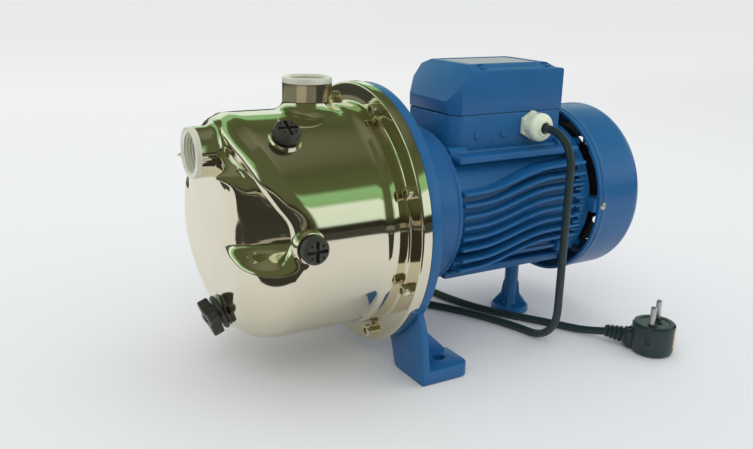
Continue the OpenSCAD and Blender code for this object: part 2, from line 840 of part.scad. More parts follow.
module cord_coil() {
    color(dark) translate([coil_x, coil_y, 0]) rotate_extrude($fn = medium)
        polygon([[coil_in, 0.1], [coil_out, 0.1], [coil_out, 7], [coil_out - 3, coil_top],
            [coil_in + 3, coil_top], [coil_in, 7]]);
}

module cord_tail() {
    color(dark) swept(tail_route, cord_r);
}

module coil_tie() {
    wide = coil_out - coil_in;
    color("black") translate([coil_x, coil_y, 0]) rotate([0, 0, 100])
        translate([coil_in - 1, -5, 0]) difference() {
            cube([wide + 2, 10, coil_top + 1]);
            translate([1, -1, 0.1]) cube([wide, 12, coil_top - 0.1]);
        }
}

// Places children at the plug, with +X running on from the cord towards the pins' side
module at_plug() {
    translate(plug_at) rotate([0, plug_tilt, plug_turn]) children();
}

module plug_relief() {
    color(dark) at_plug() rotate([0, 90, 0])
        rotate_extrude($fn = coarse) polygon([[0, 0], [5, 0], [6, 3], [5, 5], [6.4, 7], [5.4, 9],
            [6.8, 11], [5.8, 13], [7.2, 15], [8, 20], [0, 20]]);
}

module plug_body() {
    color(dark) at_plug() translate([20, 0, 0]) union() {
        translate([22, 0, -9.5]) cylinder(h = 28, r = 18.5, $fn = medium);
        translate([0, -9, -9.5]) cube([20, 18, 18]);
    }
}

module plug_pins() {
    color(steel) at_plug() translate([42, 0, 18.5]) for (s = [-1, 1])
        translate([0, s * 9.5, 0]) {
            cylinder(h = 17, r = 2.4, $fn = coarse);
            translate([0, 0, 17]) sphere(r = 2.4, $fn = coarse);
        }
}

module plug_earth() {
    color("gold") at_plug() for (s = [-1, 1])
        translate([42 + s * 18.6, -3, -4]) cube([1.2, 6, 18], center = false);
}

pump_casing();
suction_port();
discharge_port();
filler_plug();
filler_seal();
side_plug();
side_seal();
drain_plug();
drain_gasket();
flange_screws();
casing_gasket();
pump_bracket();
suction_duct();
ejector_body();
nozzle();
venturi_tube();
diffuser();
impeller();
impeller_nut();
seal_rotary();
seal_seat();
seal_spring();
shaft();
slinger();
bearing_outer_rings();
bearing_balls();
bearing_inner_rings();
rotor_core();
stator_core();
windings();
motor_housing();
rear_shield();
wave_washer();
tie_bolts();
fan();
fan_clip();
fan_cover();
fan_cover_screws();
motor_foot();
foot_screw();
terminal_box();
box_gasket();
box_lid();
lid_screws();
label_plate();
terminal_block();
capacitor();
capacitor_clamp();
gland_body();
gland_seal();
gland_nut();
cord_lead();
cord_coil();
cord_tail();
coil_tie();
plug_body();
plug_relief();
plug_pins();
plug_earth();
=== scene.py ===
"""Shallow well jet pump with its motor, terminal box and mains lead, dressed around the frame.

Shapes are worked out in millimetres and scaled to metres when a piece is finished. X runs along
the shaft towards the fan, Z is up, and the origin is on the ground between the bracket's holes.
"""
import logging
import math
from dataclasses import dataclass
from enum import Enum
from typing import Any, Callable, Optional, Sequence, Union

import bmesh
import bpy
from mathutils import Matrix, Vector


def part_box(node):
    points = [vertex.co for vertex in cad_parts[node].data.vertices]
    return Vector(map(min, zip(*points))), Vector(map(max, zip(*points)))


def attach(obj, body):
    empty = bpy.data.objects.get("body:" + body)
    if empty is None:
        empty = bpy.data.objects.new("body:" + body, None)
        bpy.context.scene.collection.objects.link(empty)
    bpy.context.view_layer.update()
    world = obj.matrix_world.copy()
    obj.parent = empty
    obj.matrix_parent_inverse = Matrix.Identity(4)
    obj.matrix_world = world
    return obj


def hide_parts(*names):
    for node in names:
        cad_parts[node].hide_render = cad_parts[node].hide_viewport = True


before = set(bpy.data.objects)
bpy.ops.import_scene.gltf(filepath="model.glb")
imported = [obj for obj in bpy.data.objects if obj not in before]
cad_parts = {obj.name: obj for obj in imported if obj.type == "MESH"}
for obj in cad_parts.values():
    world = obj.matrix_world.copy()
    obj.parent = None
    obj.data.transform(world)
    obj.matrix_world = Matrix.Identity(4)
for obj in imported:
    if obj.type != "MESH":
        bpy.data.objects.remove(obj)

log = logging.getLogger("jet_pump")

Pair = tuple[float, float]
Triple = tuple[float, float, float]
Colour = tuple[float, float, float]

MM = 0.001
RIGHT_ANGLE = math.pi / 2
X, Y, Z = range(3)


# ---------------------------------------------------------------- places in the frame


def low_side(node: str, axis: int) -> float:
    """The low side of a frame node's box, in millimetres, to a tenth."""
    return round(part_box(node)[0][axis] / MM, 1)


def high_side(node: str, axis: int) -> float:
    """The high side of a frame node's box, in millimetres, to a tenth."""
    return round(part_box(node)[1][axis] / MM, 1)


def middle_of(node: str, axis: int) -> float:
    """The middle of a frame node's box, in millimetres, to a tenth."""
    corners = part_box(node)
    return round((corners[0][axis] + corners[1][axis]) / 2 / MM, 1)


AXIS_H = middle_of("shaft", Z)
PLUG_X = middle_of("filler_plug", X)
GLAND_X = middle_of("gland_body", X)
GLAND_H = middle_of("gland_body", Z)


# ---------------------------------------------------------------- places and outlines


def place(at: Triple = (0, 0, 0), turn: Triple = (0, 0, 0)) -> Matrix:
    """A matrix that turns about X, then Y, then Z, in degrees, and then moves.

    Args:
        at: where the local origin goes, in millimetres.
        turn: the three angles, in degrees.

    Returns:
        The matrix from local to frame coordinates.
    """
    x, y, z = (math.radians(a) for a in turn)
    spin = Matrix.Rotation(z, 4, "Z") @ Matrix.Rotation(y, 4, "Y") @ Matrix.Rotation(x, 4, "X")
    return Matrix.Translation(at) @ spin


def on_shaft(x: float = 0, angle: float = 0) -> Matrix:
    """Local +Z runs along the shaft from x, turned by angle degrees about it."""
    return place((x, 0, AXIS_H), (angle, 0, 0)) @ place(turn=(0, 90, 0))


def on_casing(x: float, angle: float, up: float = 0) -> Matrix:
    """Local +Z runs outwards from the shaft, angle degrees above the near side."""
    return place((x, 0, AXIS_H), (90 - angle, 0, 0)) @ place((0, up, 0))


def arc(centre: Pair, radius: float, start: float, stop: float, steps: int = 8) -> list[Pair]:
    """Points along an arc, with its angles in degrees."""
    angles = [math.radians(start + (stop - start) * i / steps) for i in range(steps + 1)]
    return [(centre[0] + radius * math.cos(a), centre[1] + radius * math.sin(a)) for a in angles]


def soft(points: Sequence[Pair], radius: float, closed: bool = True, steps: int = 3) -> list[Pair]:
    """Rounds the corners of an outline.

    Args:
        points: the outline's corners.
        radius: how far from a corner its curve starts, at most 0.45 of the side.
        closed: whether the last point joins the first.
        steps: how many segments each corner gets.

    Returns:
        The rounded outline.
    """
    out: list[Pair] = []
    count = len(points)
    for i, point in enumerate(points):
        if not closed and i in (0, count - 1):
            out.append(point)
            continue
        corner = Vector(point)
        ends = []
        for other in (points[i - 1], points[(i + 1) % count]):
            side = Vector(other) - corner
            ends.append(corner + side.normalized() * min(radius, 0.45 * side.length))
        for k in range(steps + 1):
            t = k / steps
            spot = ends[0] * (1 - t) ** 2 + corner * 2 * t * (1 - t) + ends[1] * t * t
            out.append((spot.x, spot.y))
    return out


def blend(t: float) -> float:
    """A smooth step from 0 to 1."""
    t = min(max(t, 0.0), 1.0)
    return t * t * (3 - 2 * t)


def along(stops: Sequence[Pair], value: float) -> float:
    """Reads a curve through (place, height) stops that is level at each of them.

    Args:
        stops: the places, in rising order, with their heights.
        value: the place to read.

    Returns:
        The height there.
    """
    if value <= stops[0][0]:
        return stops[0][1]
    for (a, low), (b, high) in zip(stops, stops[1:]):
        if value <= b:
            return low + (high - low) * blend((value - a) / (b - a))
    return stops[-1][1]


def swept(stops: Sequence[Pair], value: float) -> float:
    """Reads the smooth curve through (place, height) stops, whose slope never jumps.

    Args:
        stops: the places, in rising order, with their heights.
        value: the place to read.

    Returns:
        The height there.
    """
    value = min(max(value, stops[0][0]), stops[-1][0])
    i = max(k for k in range(len(stops) - 1) if value >= stops[k][0])
    rises = [(b[1] - a[1]) / (b[0] - a[0]) for a, b in zip(stops, stops[1:])]

    def slope(k: int) -> float:
        """The curve's slope at a stop.

        Args:
            k: the stop's number.

        Returns:
            The slope, which at an end is that of the nearest stretch.
        """
        if k in (0, len(stops) - 1):
            return rises[min(k, len(rises) - 1)]
        before, after = stops[k][0] - stops[k - 1][0], stops[k + 1][0] - stops[k][0]
        return (rises[k - 1] * after + rises[k] * before) / (before + after)

    width = stops[i + 1][0] - stops[i][0]
    t = (value - stops[i][0]) / width
    start, end = stops[i][1], stops[i + 1][1]
    return (start * (1 + 2 * t) * (1 - t) ** 2 + end * t * t * (3 - 2 * t)
            + width * t * (1 - t) * (slope(i) * (1 - t) - slope(i + 1) * t))


def through(points: Sequence[Vector], share: float) -> Vector:
    """A point on the smooth curve through all the points.

    Args:
        points: the points that the curve passes.
        share: how far along it is, counted in points.

    Returns:
        The point there.
    """
    last = len(points) - 1
    i = min(int(share), last - 1)
    t = share - i
    a, b, c, d = (points[min(max(i + k, 0), last)] for k in (-1, 0, 1, 2))
    return 0.5 * (2 * b + (c - a) * t + (2 * a - 5 * b + 4 * c - d) * t ** 2
                  + (3 * b - a - 3 * c + d) * t ** 3)


def polar(reach: float, angle: float, about: Pair = (0, 0)) -> Pair:
    """The point at a distance and an angle, in degrees, from another."""
    turn = math.radians(angle)
    return about[0] + reach * math.cos(turn), about[1] + reach * math.sin(turn)


FILLER_AT = on_casing(PLUG_X, 58)
SIDE_AT = on_casing(PLUG_X, 0, 7)
DRAIN_AT = place((-124, 0, 66.5), (0, -112, 0))


# ---------------------------------------------------------------- shapes


def linked(name: str, data: Any) -> bpy.types.Object:
    """A new object, put into the scene.

    Args:
        name: the object's name.
        data: its mesh, curve, light or camera.

    Returns:
        The object.
    """
    obj = bpy.data.objects.new(name, data)
    bpy.context.scene.collection.objects.link(obj)
    return obj


class Join(Enum):
    """How two solids are put together."""

    UNION = "UNION"
    CUT = "DIFFERENCE"
    COMMON = "INTERSECT"


class Form:
    """A mesh being shaped, in millimetres, with the operations that the pieces share."""

    def __init__(self) -> None:
        """Starts with nothing."""
        self.bm = bmesh.new()

    def take(self, bm: bmesh.types.BMesh, where: Optional[Matrix] = None) -> "Form":
        """Adds a finished shape to this form, with its faces pointing outwards.

        Args:
            bm: the shape, which is used up.
            where: the matrix that puts it in place.

        Returns:
            This form.
        """
        bmesh.ops.recalc_face_normals(bm, faces=bm.faces)
        if where is not None:
            bm.transform(where)
        mesh = bpy.data.meshes.new("shape")
        bm.to_mesh(mesh)
        bm.free()
        self.bm.from_mesh(mesh)
        bpy.data.meshes.remove(mesh)
        return self

    def turned(self, profile: Sequence[Pair], where: Optional[Matrix] = None, steps: int = 96,
               closed: bool = True, sweep: float = 360) -> "Form":
        """Spins (radius, along) points about the local Z axis.

        Args:
            profile: the outline's points.
            where: the matrix that puts the shape in place.
            steps: segments around.
            closed: whether the outline's last point joins its first.
            sweep: the angle that is turned, in degrees.

        Returns:
            This form.
        """
        bm = bmesh.new()
        verts = [bm.verts.new((r, 0.0, a)) for r, a in profile]
        ends = verts[1:] + (verts[:1] if closed else [])
        edges = [bm.edges.new(pair) for pair in zip(verts, ends)]
        full = sweep >= 360
        if full:
            bmesh.ops.spin(bm, geom=verts + edges, axis=(0, 0, 1), cent=(0, 0, 0), steps=steps,
                           angle=2 * math.pi, use_merge=True)
        else:
            cap = bm.faces.new(verts)
            bmesh.ops.spin(bm, geom=[cap], axis=(0, 0, 1), cent=(0, 0, 0), steps=steps,
                           angle=math.radians(sweep))
        bmesh.ops.remove_doubles(bm, verts=bm.verts, dist=1e-4)
        return self.take(bm, where)

    def slab(self, outline: Sequence[Pair], low: float, high: float,
             where: Optional[Matrix] = None) -> "Form":
        """Extrudes an outline along the local Z axis.

        Args:
            outline: the outline's corners.
            low: where the slab starts.
            high: where it ends.
            where: the matrix that puts it in place.

        Returns:
            This form.
        """
        bm = bmesh.new()
        face = bm.faces.new([bm.verts.new((x, y, low)) for x, y in outline])
        made = bmesh.ops.extrude_face_region(bm, geom=[face])
        verts = [v for v in made["geom"] if isinstance(v, bmesh.types.BMVert)]
        bmesh.ops.translate(bm, vec=(0, 0, high - low), verts=verts)
        return self.take(bm, where)

    def block(self, low: Triple, high: Triple, where: Optional[Matrix] = None,
              edge: float = 0, segments: int = 2) -> "Form":
        """Adds a box between two corners, with its edges rounded.

        Args:
            low: the lowest corner.
            high: the highest corner.
            where: the matrix that puts it in place.
            edge: the rounding's width, or 0 for none.
            segments: how many strips the rounding gets.

        Returns:
            This form.
        """
        bm = bmesh.new()
        size = Vector(high) - Vector(low)
        middle = Matrix.Translation((Vector(high) + Vector(low)) / 2)
        bmesh.ops.create_cube(bm, size=1, matrix=middle @ Matrix.Diagonal((*size, 1)))
        if edge:
            bmesh.ops.bevel(bm, geom=bm.edges[:], offset=edge, offset_type="OFFSET",
                            segments=segments, profile=0.5, affect="EDGES", material=-1)
        return self.take(bm, where)

    def drum(self, radius: float, low: float, high: float, where: Optional[Matrix] = None,
             steps: int = 48, edge: float = 0, top: Optional[float] = None) -> "Form":
        """Adds a cylinder or a cone with rounded rims.

        Args:
            radius: its radius, at the low end.
            low: where it starts on the local Z axis.
            high: where it ends.
            where: the matrix that puts it in place.
            steps: segments around.
            edge: the rounding's width, or 0 for none.
            top: a cone's radius at the high end.

        Returns:
            This form.
        """
        bm = bmesh.new()
        bmesh.ops.create_cone(bm, cap_ends=True, segments=steps, radius1=radius,
                              radius2=radius if top is None else top, depth=high - low,
                              matrix=Matrix.Translation((0, 0, (low + high) / 2)))
        if edge:
            rims = [e for e in bm.edges if e.calc_face_angle(0) > math.radians(40)]
            bmesh.ops.bevel(bm, geom=rims, offset=edge, offset_type="OFFSET", segments=2,
                            profile=0.5, affect="EDGES", material=-1)
        return self.take(bm, where)

    def eased(self, width: float, segments: int = 2, over: float = 35,
              keep: Optional[Callable[[Any], bool]] = None) -> "Form":
        """Rounds edges that are sharper than an angle.

        Args:
            width: the rounding's width.
            segments: how many strips it gets.
            over: the angle between faces, in degrees, past which an edge is rounded.
            keep: takes an edge's middle and says whether it is rounded.

        Returns:
            This form.
        """
        edges = [e for e in self.bm.edges
                 if e.is_manifold and e.calc_face_angle(0) > math.radians(over)
                 and (keep is None or keep((e.verts[0].co + e.verts[1].co) / 2))]
        bmesh.ops.bevel(self.bm, geom=edges, offset=width, offset_type="OFFSET", profile=0.5,
                        segments=segments, affect="EDGES", clamp_overlap=True, material=-1)
        return self

    def moved(self, shift: Callable[[Vector], Vector]) -> "Form":
        """Moves every point to where a function says.

        Args:
            shift: takes a point and gives its new place.

        Returns:
            This form.
        """
        for vert in self.bm.verts:
            vert.co = shift(vert.co.copy())
        return self

    def repeated(self, places: Sequence[Matrix]) -> "Form":
        """Copies this form to several places.

        Args:
            places: the matrix of each copy.

        Returns:
            This form, with only the copies.
        """
        mesh = bpy.data.meshes.new("repeat")
        self.bm.to_mesh(mesh)
        self.bm.clear()
        for where in places:
            copy = bmesh.new()
            copy.from_mesh(mesh)
            copy.transform(where)
            self.take(copy)
        bpy.data.meshes.remove(mesh)
        return self

    def joined(self, other: "Form", how: Join = Join.UNION) -> "Form":
        """Puts another solid together with this one.

        Args:
            other: the other solid, which is used up.
            how: whether it is added, taken away or met.

        Returns:
            This form.
        """
        parts = []
        for form in (self, other):
            mesh = bpy.data.meshes.new("solid")
            form.bm.to_mesh(mesh)
            form.bm.free()
            parts.append(linked("solid", mesh))
        modifier = parts[0].modifiers.new("join", "BOOLEAN")
        modifier.solver = "MANIFOLD"
        modifier.operation = how.value
        modifier.object = parts[1]
        graph = bpy.context.evaluated_depsgraph_get()
        result = bpy.data.meshes.new_from_object(parts[0].evaluated_get(graph), depsgraph=graph)
        self.bm = bmesh.new()
        self.bm.from_mesh(result)
        bpy.data.meshes.remove(result)
        for part in parts:
            mesh = part.data
            bpy.data.objects.remove(part)
            bpy.data.meshes.remove(mesh)
        return self

    def cut(self, other: "Form") -> "Form":
        """Takes another solid away from this one."""
        return self.joined(other, Join.CUT)

    def mesh(self, name: str) -> bpy.types.Mesh:
        """Makes a mesh in metres, and uses the form up.

        Args:
            name: the mesh's name.

        Returns:
            The mesh.
        """
        bmesh.ops.scale(self.bm, vec=(MM, MM, MM), verts=self.bm.verts)
        mesh = bpy.data.meshes.new(name)
        self.bm.to_mesh(mesh)
        self.bm.free()
        return mesh

    def piece(self, name: str, finish: "Finish", body: str = "pump", nodes: Sequence[str] = (),
              sharp: float = 32) -> bpy.types.Object:
        """Finishes the form as a piece of the object.

        Args:
            name: the piece's name.
            finish: what its surface is.
            body: the body that it moves with.
            nodes: the frame's nodes that it stands for.
            sharp: the angle past which an edge shows, in degrees.

        Returns:
            The new object.
        """
        mesh = self.mesh(name)
        mesh.polygons.foreach_set("use_smooth", [True] * len(mesh.polygons))
        mesh.set_sharp_from_angle(angle=math.radians(sharp))
        return dressed(linked(name, mesh), finish, body, nodes)


def dressed(obj: bpy.types.Object, finish: "Finish", body: str,
            nodes: Sequence[str] = ()) -> bpy.types.Object:
    """Gives a new piece its finish and its body, and hides the frame's nodes that it stands for.

    Args:
        obj: the piece.
        finish: what its surface is.
        body: the body that it moves with.
        nodes: the frame's nodes that it stands for.

    Returns:
        The piece.
    """
    obj.data.materials.append(finish.material())
    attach(obj, body)
    if nodes:
        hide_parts(*nodes)
    log.info("%s rides on %s", obj.name, body)
    return obj


# ---------------------------------------------------------------- finishes


Value = Union[float, "Wire"]


class Wire:
    """A node's output that can be used in arithmetic: each operator adds a Math node."""

    def __init__(self, board: "Board", socket: bpy.types.NodeSocket) -> None:
        """Keeps an output and the node tree that it is in."""
        self.board = board
        self.socket = socket

    def __add__(self, other: Value) -> "Wire":
        """The sum."""
        return self.board.combined("ADD", self, other)

    def __radd__(self, other: Value) -> "Wire":
        """The sum, with the number first."""
        return self.board.combined("ADD", other, self)

    def __sub__(self, other: Value) -> "Wire":
        """The difference."""
        return self.board.combined("SUBTRACT", self, other)

    def __rsub__(self, other: Value) -> "Wire":
        """The difference, with the number first."""
        return self.board.combined("SUBTRACT", other, self)

    def __mul__(self, other: Value) -> "Wire":
        """The product."""
        return self.board.combined("MULTIPLY", self, other)

    def __rmul__(self, other: Value) -> "Wire":
        """The product, with the number first."""
        return self.board.combined("MULTIPLY", other, self)

    def __truediv__(self, other: Value) -> "Wire":
        """The quotient."""
        return self.board.combined("DIVIDE", self, other)

    def __pow__(self, other: Value) -> "Wire":
        """The power."""
        return self.board.combined("POWER", self, other)


class Board:
    """A node tree. Every node comes from its node method."""

    def __init__(self, tree: bpy.types.NodeTree) -> None:
        """Takes a node tree and empties it."""
        self.tree = tree
        tree.nodes.clear()

    def node(self, kind: str, settings: Optional[dict[str, Any]] = None,
             inputs: Optional[dict[Union[str, int], Any]] = None) -> bpy.types.Node:
        """Makes a node, and sets it before anything is linked to it.

        Args:
            kind: the node's type.
            settings: its settings, with "stops" for a ramp's (place, colour) pairs.
            inputs: values or wires for its sockets, by name or number.

        Returns:
            The node.
        """
        node = self.tree.nodes.new(kind)
        for key, value in (settings or {}).items():
            if key == "stops":
                stops = node.color_ramp.elements
                while len(stops) < len(value):
                    stops.new(0.5)
                for stop, (where, colour) in zip(stops, value):
                    stop.position = where
                    stop.color = (*colour, 1)
            else:
                setattr(node, key, value)
        for key, value in (inputs or {}).items():
            if isinstance(value, Wire):
                self.tree.links.new(value.socket, node.inputs[key])
            else:
                node.inputs[key].default_value = value
        return node

    def add(self, kind: str, settings: Optional[dict[str, Any]] = None,
            inputs: Optional[dict[Union[str, int], Any]] = None,
            out: Union[str, int] = 0) -> Wire:
        """Adds a node for one of its outputs.

        Args:
            kind: the node's type.
            settings: its settings, as node() takes them.
            inputs: values or wires for its sockets, by name or number.
            out: which output is wanted.

        Returns:
            The wanted output.
        """
        return Wire(self, self.node(kind, settings, inputs).outputs[out])

    def add_output(self, shader: Wire, kind: str = "ShaderNodeOutputMaterial") -> None:
        """Adds the tree's output."""
        self.node(kind, None, {"Surface": shader})

    def combined(self, operation: str, a: Value, b: Value) -> Wire:
        """A Math node on two values."""
        return self.add("ShaderNodeMath", {"operation": operation}, {0: a, 1: b})

    def clamp(self, value: Value) -> Wire:
        """A value held between 0 and 1."""
        return self.add("ShaderNodeClamp", None, {"Value": value})

    def spots(self) -> Wire:
        """Object coordinates, in metres."""
        return self.add("ShaderNodeTexCoord", None, None, "Object")

    def noise(self, size_mm: float, detail: float = 3, rough: float = 0.5,
              where: Optional[Wire] = None) -> Wire:
        """A noise pattern.

        Args:
            size_mm: about how large its grains are, in millimetres.
            detail: how many finer layers lie on it.
            rough: how strong those are.
            where: the coordinates that it reads, if not the object's own.

        Returns:
            The pattern, from 0 to 1.
        """
        return self.add("ShaderNodeTexNoise", None,
                        {"Vector": where or self.spots(), "Scale": 1 / (size_mm * MM),
                         "Detail": detail, "Roughness": rough}, "Fac")

    def stretched(self, scale: Triple) -> Wire:
        """Object coordinates scaled along each axis."""
        return self.add("ShaderNodeMapping", None, {"Vector": self.spots(), "Scale": scale})

    def mixed(self, share: Value, a: Any, b: Any) -> Wire:
        """A colour between two.

        Args:
            share: how much there is of the second one, from 0 to 1.
            a: the first colour, or its wire.
            b: the second colour, or its wire.

        Returns:
            The colour between them.
        """
        a, b = (c if isinstance(c, Wire) else (*c, 1) for c in (a, b))
        return self.add("ShaderNodeMix", {"data_type": "RGBA"}, {0: share, 6: a, 7: b}, 2)

    def bump(self, height: Value, depth_mm: float, strength: float = 1) -> Wire:
        """A normal that is tilted by a height pattern.

        Args:
            height: the pattern.
            depth_mm: how deep it is, in millimetres.
            strength: how much of it shows.

        Returns:
            The normal.
        """
        return self.add("ShaderNodeBump", None, {"Height": height, "Distance": depth_mm * MM,
                                                 "Strength": strength})


MATERIALS: dict[str, bpy.types.Material] = {}


@dataclass(frozen=True)
class Finish:
    """What a surface is: the constants go on the shader's own sockets."""

    name: str
    slot: str
    colour: Colour
    roughness: float
    metallic: float = 0.0
    coat: float = 0.0
    level: float = 0.5

    def material(self) -> bpy.types.Material:
        """The finish's material, which is made once.

        Returns:
            The material.
        """
        if self.name not in MATERIALS:
            material = bpy.data.materials.new(self.name)
            material.use_nodes = True
            board = Board(material.node_tree)
            inputs = {"Base Color": (*self.colour, 1), "Roughness": self.roughness,
                      "Metallic": self.metallic, "Coat Weight": self.coat,
                      "Specular IOR Level": self.level}
            inputs.update(self.pattern(board))
            shader = board.add("ShaderNodeBsdfPrincipled", None, inputs)
            board.add_output(shader)
            MATERIALS[self.name] = material
        return MATERIALS[self.name]

    def pattern(self, board: Board) -> dict[str, Wire]:
        """What varies over the surface.

        Args:
            board: the material's node tree.

        Returns:
            A wire for each socket that varies.
        """
        fine = board.noise(1.5)
        return {"Roughness": self.roughness * (0.85 + 0.3 * fine),
                "Normal": board.bump(fine, 0.02, 0.5)}


@dataclass(frozen=True)
class BrightSteel(Finish):
    """Polished stamped sheet: faint waves in the surface and fine buffing marks."""

    wave_mm: float = 34.0
    wave_depth: float = 0.12

    def pattern(self, board: Board) -> dict[str, Wire]:
        """Waves, buffing marks and a change of shine.

        Args:
            board: the material's node tree.

        Returns:
            A wire for each socket that varies.
        """
        cloud = board.noise(60, 2)
        marks = board.noise(1.0, 4, 0.6, board.stretched((60.0, 900.0, 900.0)))
        wave = board.noise(self.wave_mm, 1, 0.4)
        tint = board.mixed(cloud, self.colour, tuple(c * 0.9 for c in self.colour))
        return {"Base Color": tint,
                "Roughness": self.roughness * (0.6 + 0.5 * cloud + 0.3 * marks),
                "Normal": board.bump(wave, self.wave_depth)}


@dataclass(frozen=True)
class CastPaint(Finish):
    """Glossy enamel over a casting: its grain shows through, and the film is uneven."""

    grain_mm: float = 2.2
    grain_depth: float = 0.10

    def pattern(self, board: Board) -> dict[str, Wire]:
        """Casting grain, pits and a slight change of colour.

        Args:
            board: the material's node tree.

        Returns:
            A wire for each socket that varies.
        """
        cloud = board.noise(45, 3)
        grain = board.noise(self.grain_mm, 4, 0.6)
        pits = board.clamp((board.noise(5.5, 2) - 0.58) * 6.0)
        tint = board.mixed(cloud, tuple(c * 0.86 for c in self.colour),
                           tuple(min(c * 1.12, 1) for c in self.colour))
        return {"Base Color": tint,
                "Roughness": self.roughness * (0.8 + 0.4 * grain),
                "Normal": board.bump(grain - 0.35 * pits, self.grain_depth)}


@dataclass(frozen=True)
class Moulded(Finish):
    """Moulded plastic or rubber: a fine spark grain, with a soft change of shine."""

    grain_mm: float = 0.7
    grain_depth: float = 0.03

    def pattern(self, board: Board) -> dict[str, Wire]:
        """Spark grain and faint flow marks.

        Args:
            board: the material's node tree.

        Returns:
            A wire for each socket that varies.
        """
        flow = board.noise(18, 3)
        grain = board.noise(self.grain_mm, 2)
        tint = board.mixed(flow, tuple(c * 0.85 for c in self.colour),
                           tuple(min(c * 1.15, 1) for c in self.colour))
        return {"Base Color": tint, "Roughness": self.roughness * (0.8 + 0.4 * flow),
                "Normal": board.bump(grain, self.grain_depth)}


@dataclass(frozen=True)
class Machined(Finish):
    """Machined metal: fine tool marks, with stains that change its colour."""

    mark_mm: float = 0.8

    def pattern(self, board: Board) -> dict[str, Wire]:
        """Tool marks and stains.

        Args:
            board: the material's node tree.

        Returns:
            A wire for each socket that varies.
        """
        marks = board.noise(self.mark_mm, 2)
        stain = board.noise(14, 4)
        tint = board.mixed(stain, tuple(c * 0.8 for c in self.colour), self.colour)
        return {"Base Color": tint, "Roughness": self.roughness * (0.7 + 0.6 * marks),
                "Normal": board.bump(marks, 0.015)}


BLUE = (0.0085, 0.098, 0.262)
STEEL = BrightSteel("bright_stainless", "stainless", (0.82, 0.76, 0.60), 0.07, 1.0)
PORT_STEEL = Machined("port_stainless", "stainless", (0.93, 0.93, 0.80), 0.45, 0.5)
PAINT = CastPaint("blue_enamel", "blue_paint", BLUE, 0.38, coat=0.12, level=0.4)
SHEET_PAINT = CastPaint("blue_enamel_sheet", "blue_paint", BLUE, 0.36, coat=0.12, level=0.4,
                        grain_mm=3.5, grain_depth=0.03)
PAINTED_STEEL = CastPaint("painted_steel", "steel", BLUE, 0.32, coat=0.25, grain_depth=0.02)
YELLOW_ZINC = Machined("yellow_zinc", "steel", (0.84, 0.76, 0.56), 0.28, 1.0)
PLAIN_STEEL = Machined("plain_steel", "steel", (0.62, 0.62, 0.60), 0.32, 1.0)
BRASS = Machined("brass", "brass", (0.83, 0.62, 0.30), 0.28, 1.0)
KNOB = Moulded("plug_plastic", "black_plastic", (0.032, 0.031, 0.024), 0.4)
FAN_PLASTIC = Moulded("fan_plastic", "black_plastic", (0.02, 0.02, 0.022), 0.45)
RUBBER = Moulded("black_rubber", "rubber", (0.012, 0.012, 0.012), 0.6, grain_mm=1.2)
SHEATH = Moulded("cord_sheath", "cord_sheath", (0.014, 0.030, 0.033), 0.42, grain_mm=1.6)
PLUG_PLASTIC = Moulded("plug_moulding", "cord_sheath", (0.013, 0.028, 0.031), 0.36)
GLAND = Moulded("gland_plastic", "gland_plastic", (0.66, 0.72, 0.55), 0.38)
INNER_PLASTIC = Moulded("inner_plastic", "engineering_plastic", (0.045, 0.043, 0.04), 0.45)
LABEL = Moulded("label_film", "label", (0.33, 0.36, 0.37), 0.5)
ALUMINIUM = Machined("bare_aluminium", "aluminium", (0.72, 0.72, 0.71), 0.35, 1.0)
COPPER = Machined("winding_copper", "copper", (0.55, 0.22, 0.08), 0.35, 1.0)
CERAMIC = Moulded("seal_ceramic", "ceramic", (0.75, 0.74, 0.70), 0.25)
LAMINATION = Machined("lamination", "lamination", (0.25, 0.25, 0.26), 0.5, 1.0)

CARRIED_OVER: dict[Finish, tuple[str, ...]] = {
    INNER_PLASTIC: ("suction_duct", "ejector_body", "venturi_tube", "diffuser", "nozzle",
                    "terminal_block"),
    BRASS: ("impeller", "impeller_nut"),
    RUBBER: ("casing_gasket", "seal_rotary", "slinger", "box_gasket", "gland_seal"),
    CERAMIC: ("seal_seat",),
    PLAIN_STEEL: ("seal_spring", "shaft", "bearing_outer_rings", "bearing_balls",
                  "bearing_inner_rings", "wave_washer", "fan_clip", "foot_screw",
                  "capacitor_clamp"),
    LAMINATION: ("rotor_core", "stator_core"),
    COPPER: ("windings",),
    FAN_PLASTIC: ("fan",),
    ALUMINIUM: ("capacitor",),
    PAINTED_STEEL: ("tie_bolts",),
}


# ---------------------------------------------------------------- camera and light


@dataclass(frozen=True)
class Viewpoint:
    """Where the object is seen from."""

    at: Triple = (-365.954, -592.227, 311.967)
    azimuth: float = 30.713
    elevation: float = 16.585
    roll: float = 1.407
    lens: float = 39.69

    def build(self) -> None:
        """Makes the camera and makes it the scene's own."""
        az, el, roll = (math.radians(a) for a in (self.azimuth, self.elevation, self.roll))
        ahead = Vector((math.sin(az) * math.cos(el), math.cos(az) * math.cos(el), -math.sin(el)))
        level = Vector((math.cos(az), -math.sin(az), 0))
        above = level.cross(ahead)
        right = level * math.cos(roll) + above * math.sin(roll)
        up = above * math.cos(roll) - level * math.sin(roll)
        data = bpy.data.cameras.new("viewpoint")
        data.lens = self.lens
        data.sensor_width = 36
        data.clip_start = 0.01
        camera = linked("viewpoint", data)
        turn = Matrix((right, up, -ahead)).transposed().to_4x4()
        camera.matrix_world = Matrix.Translation(Vector(self.at) * MM) @ turn
        bpy.context.scene.camera = camera


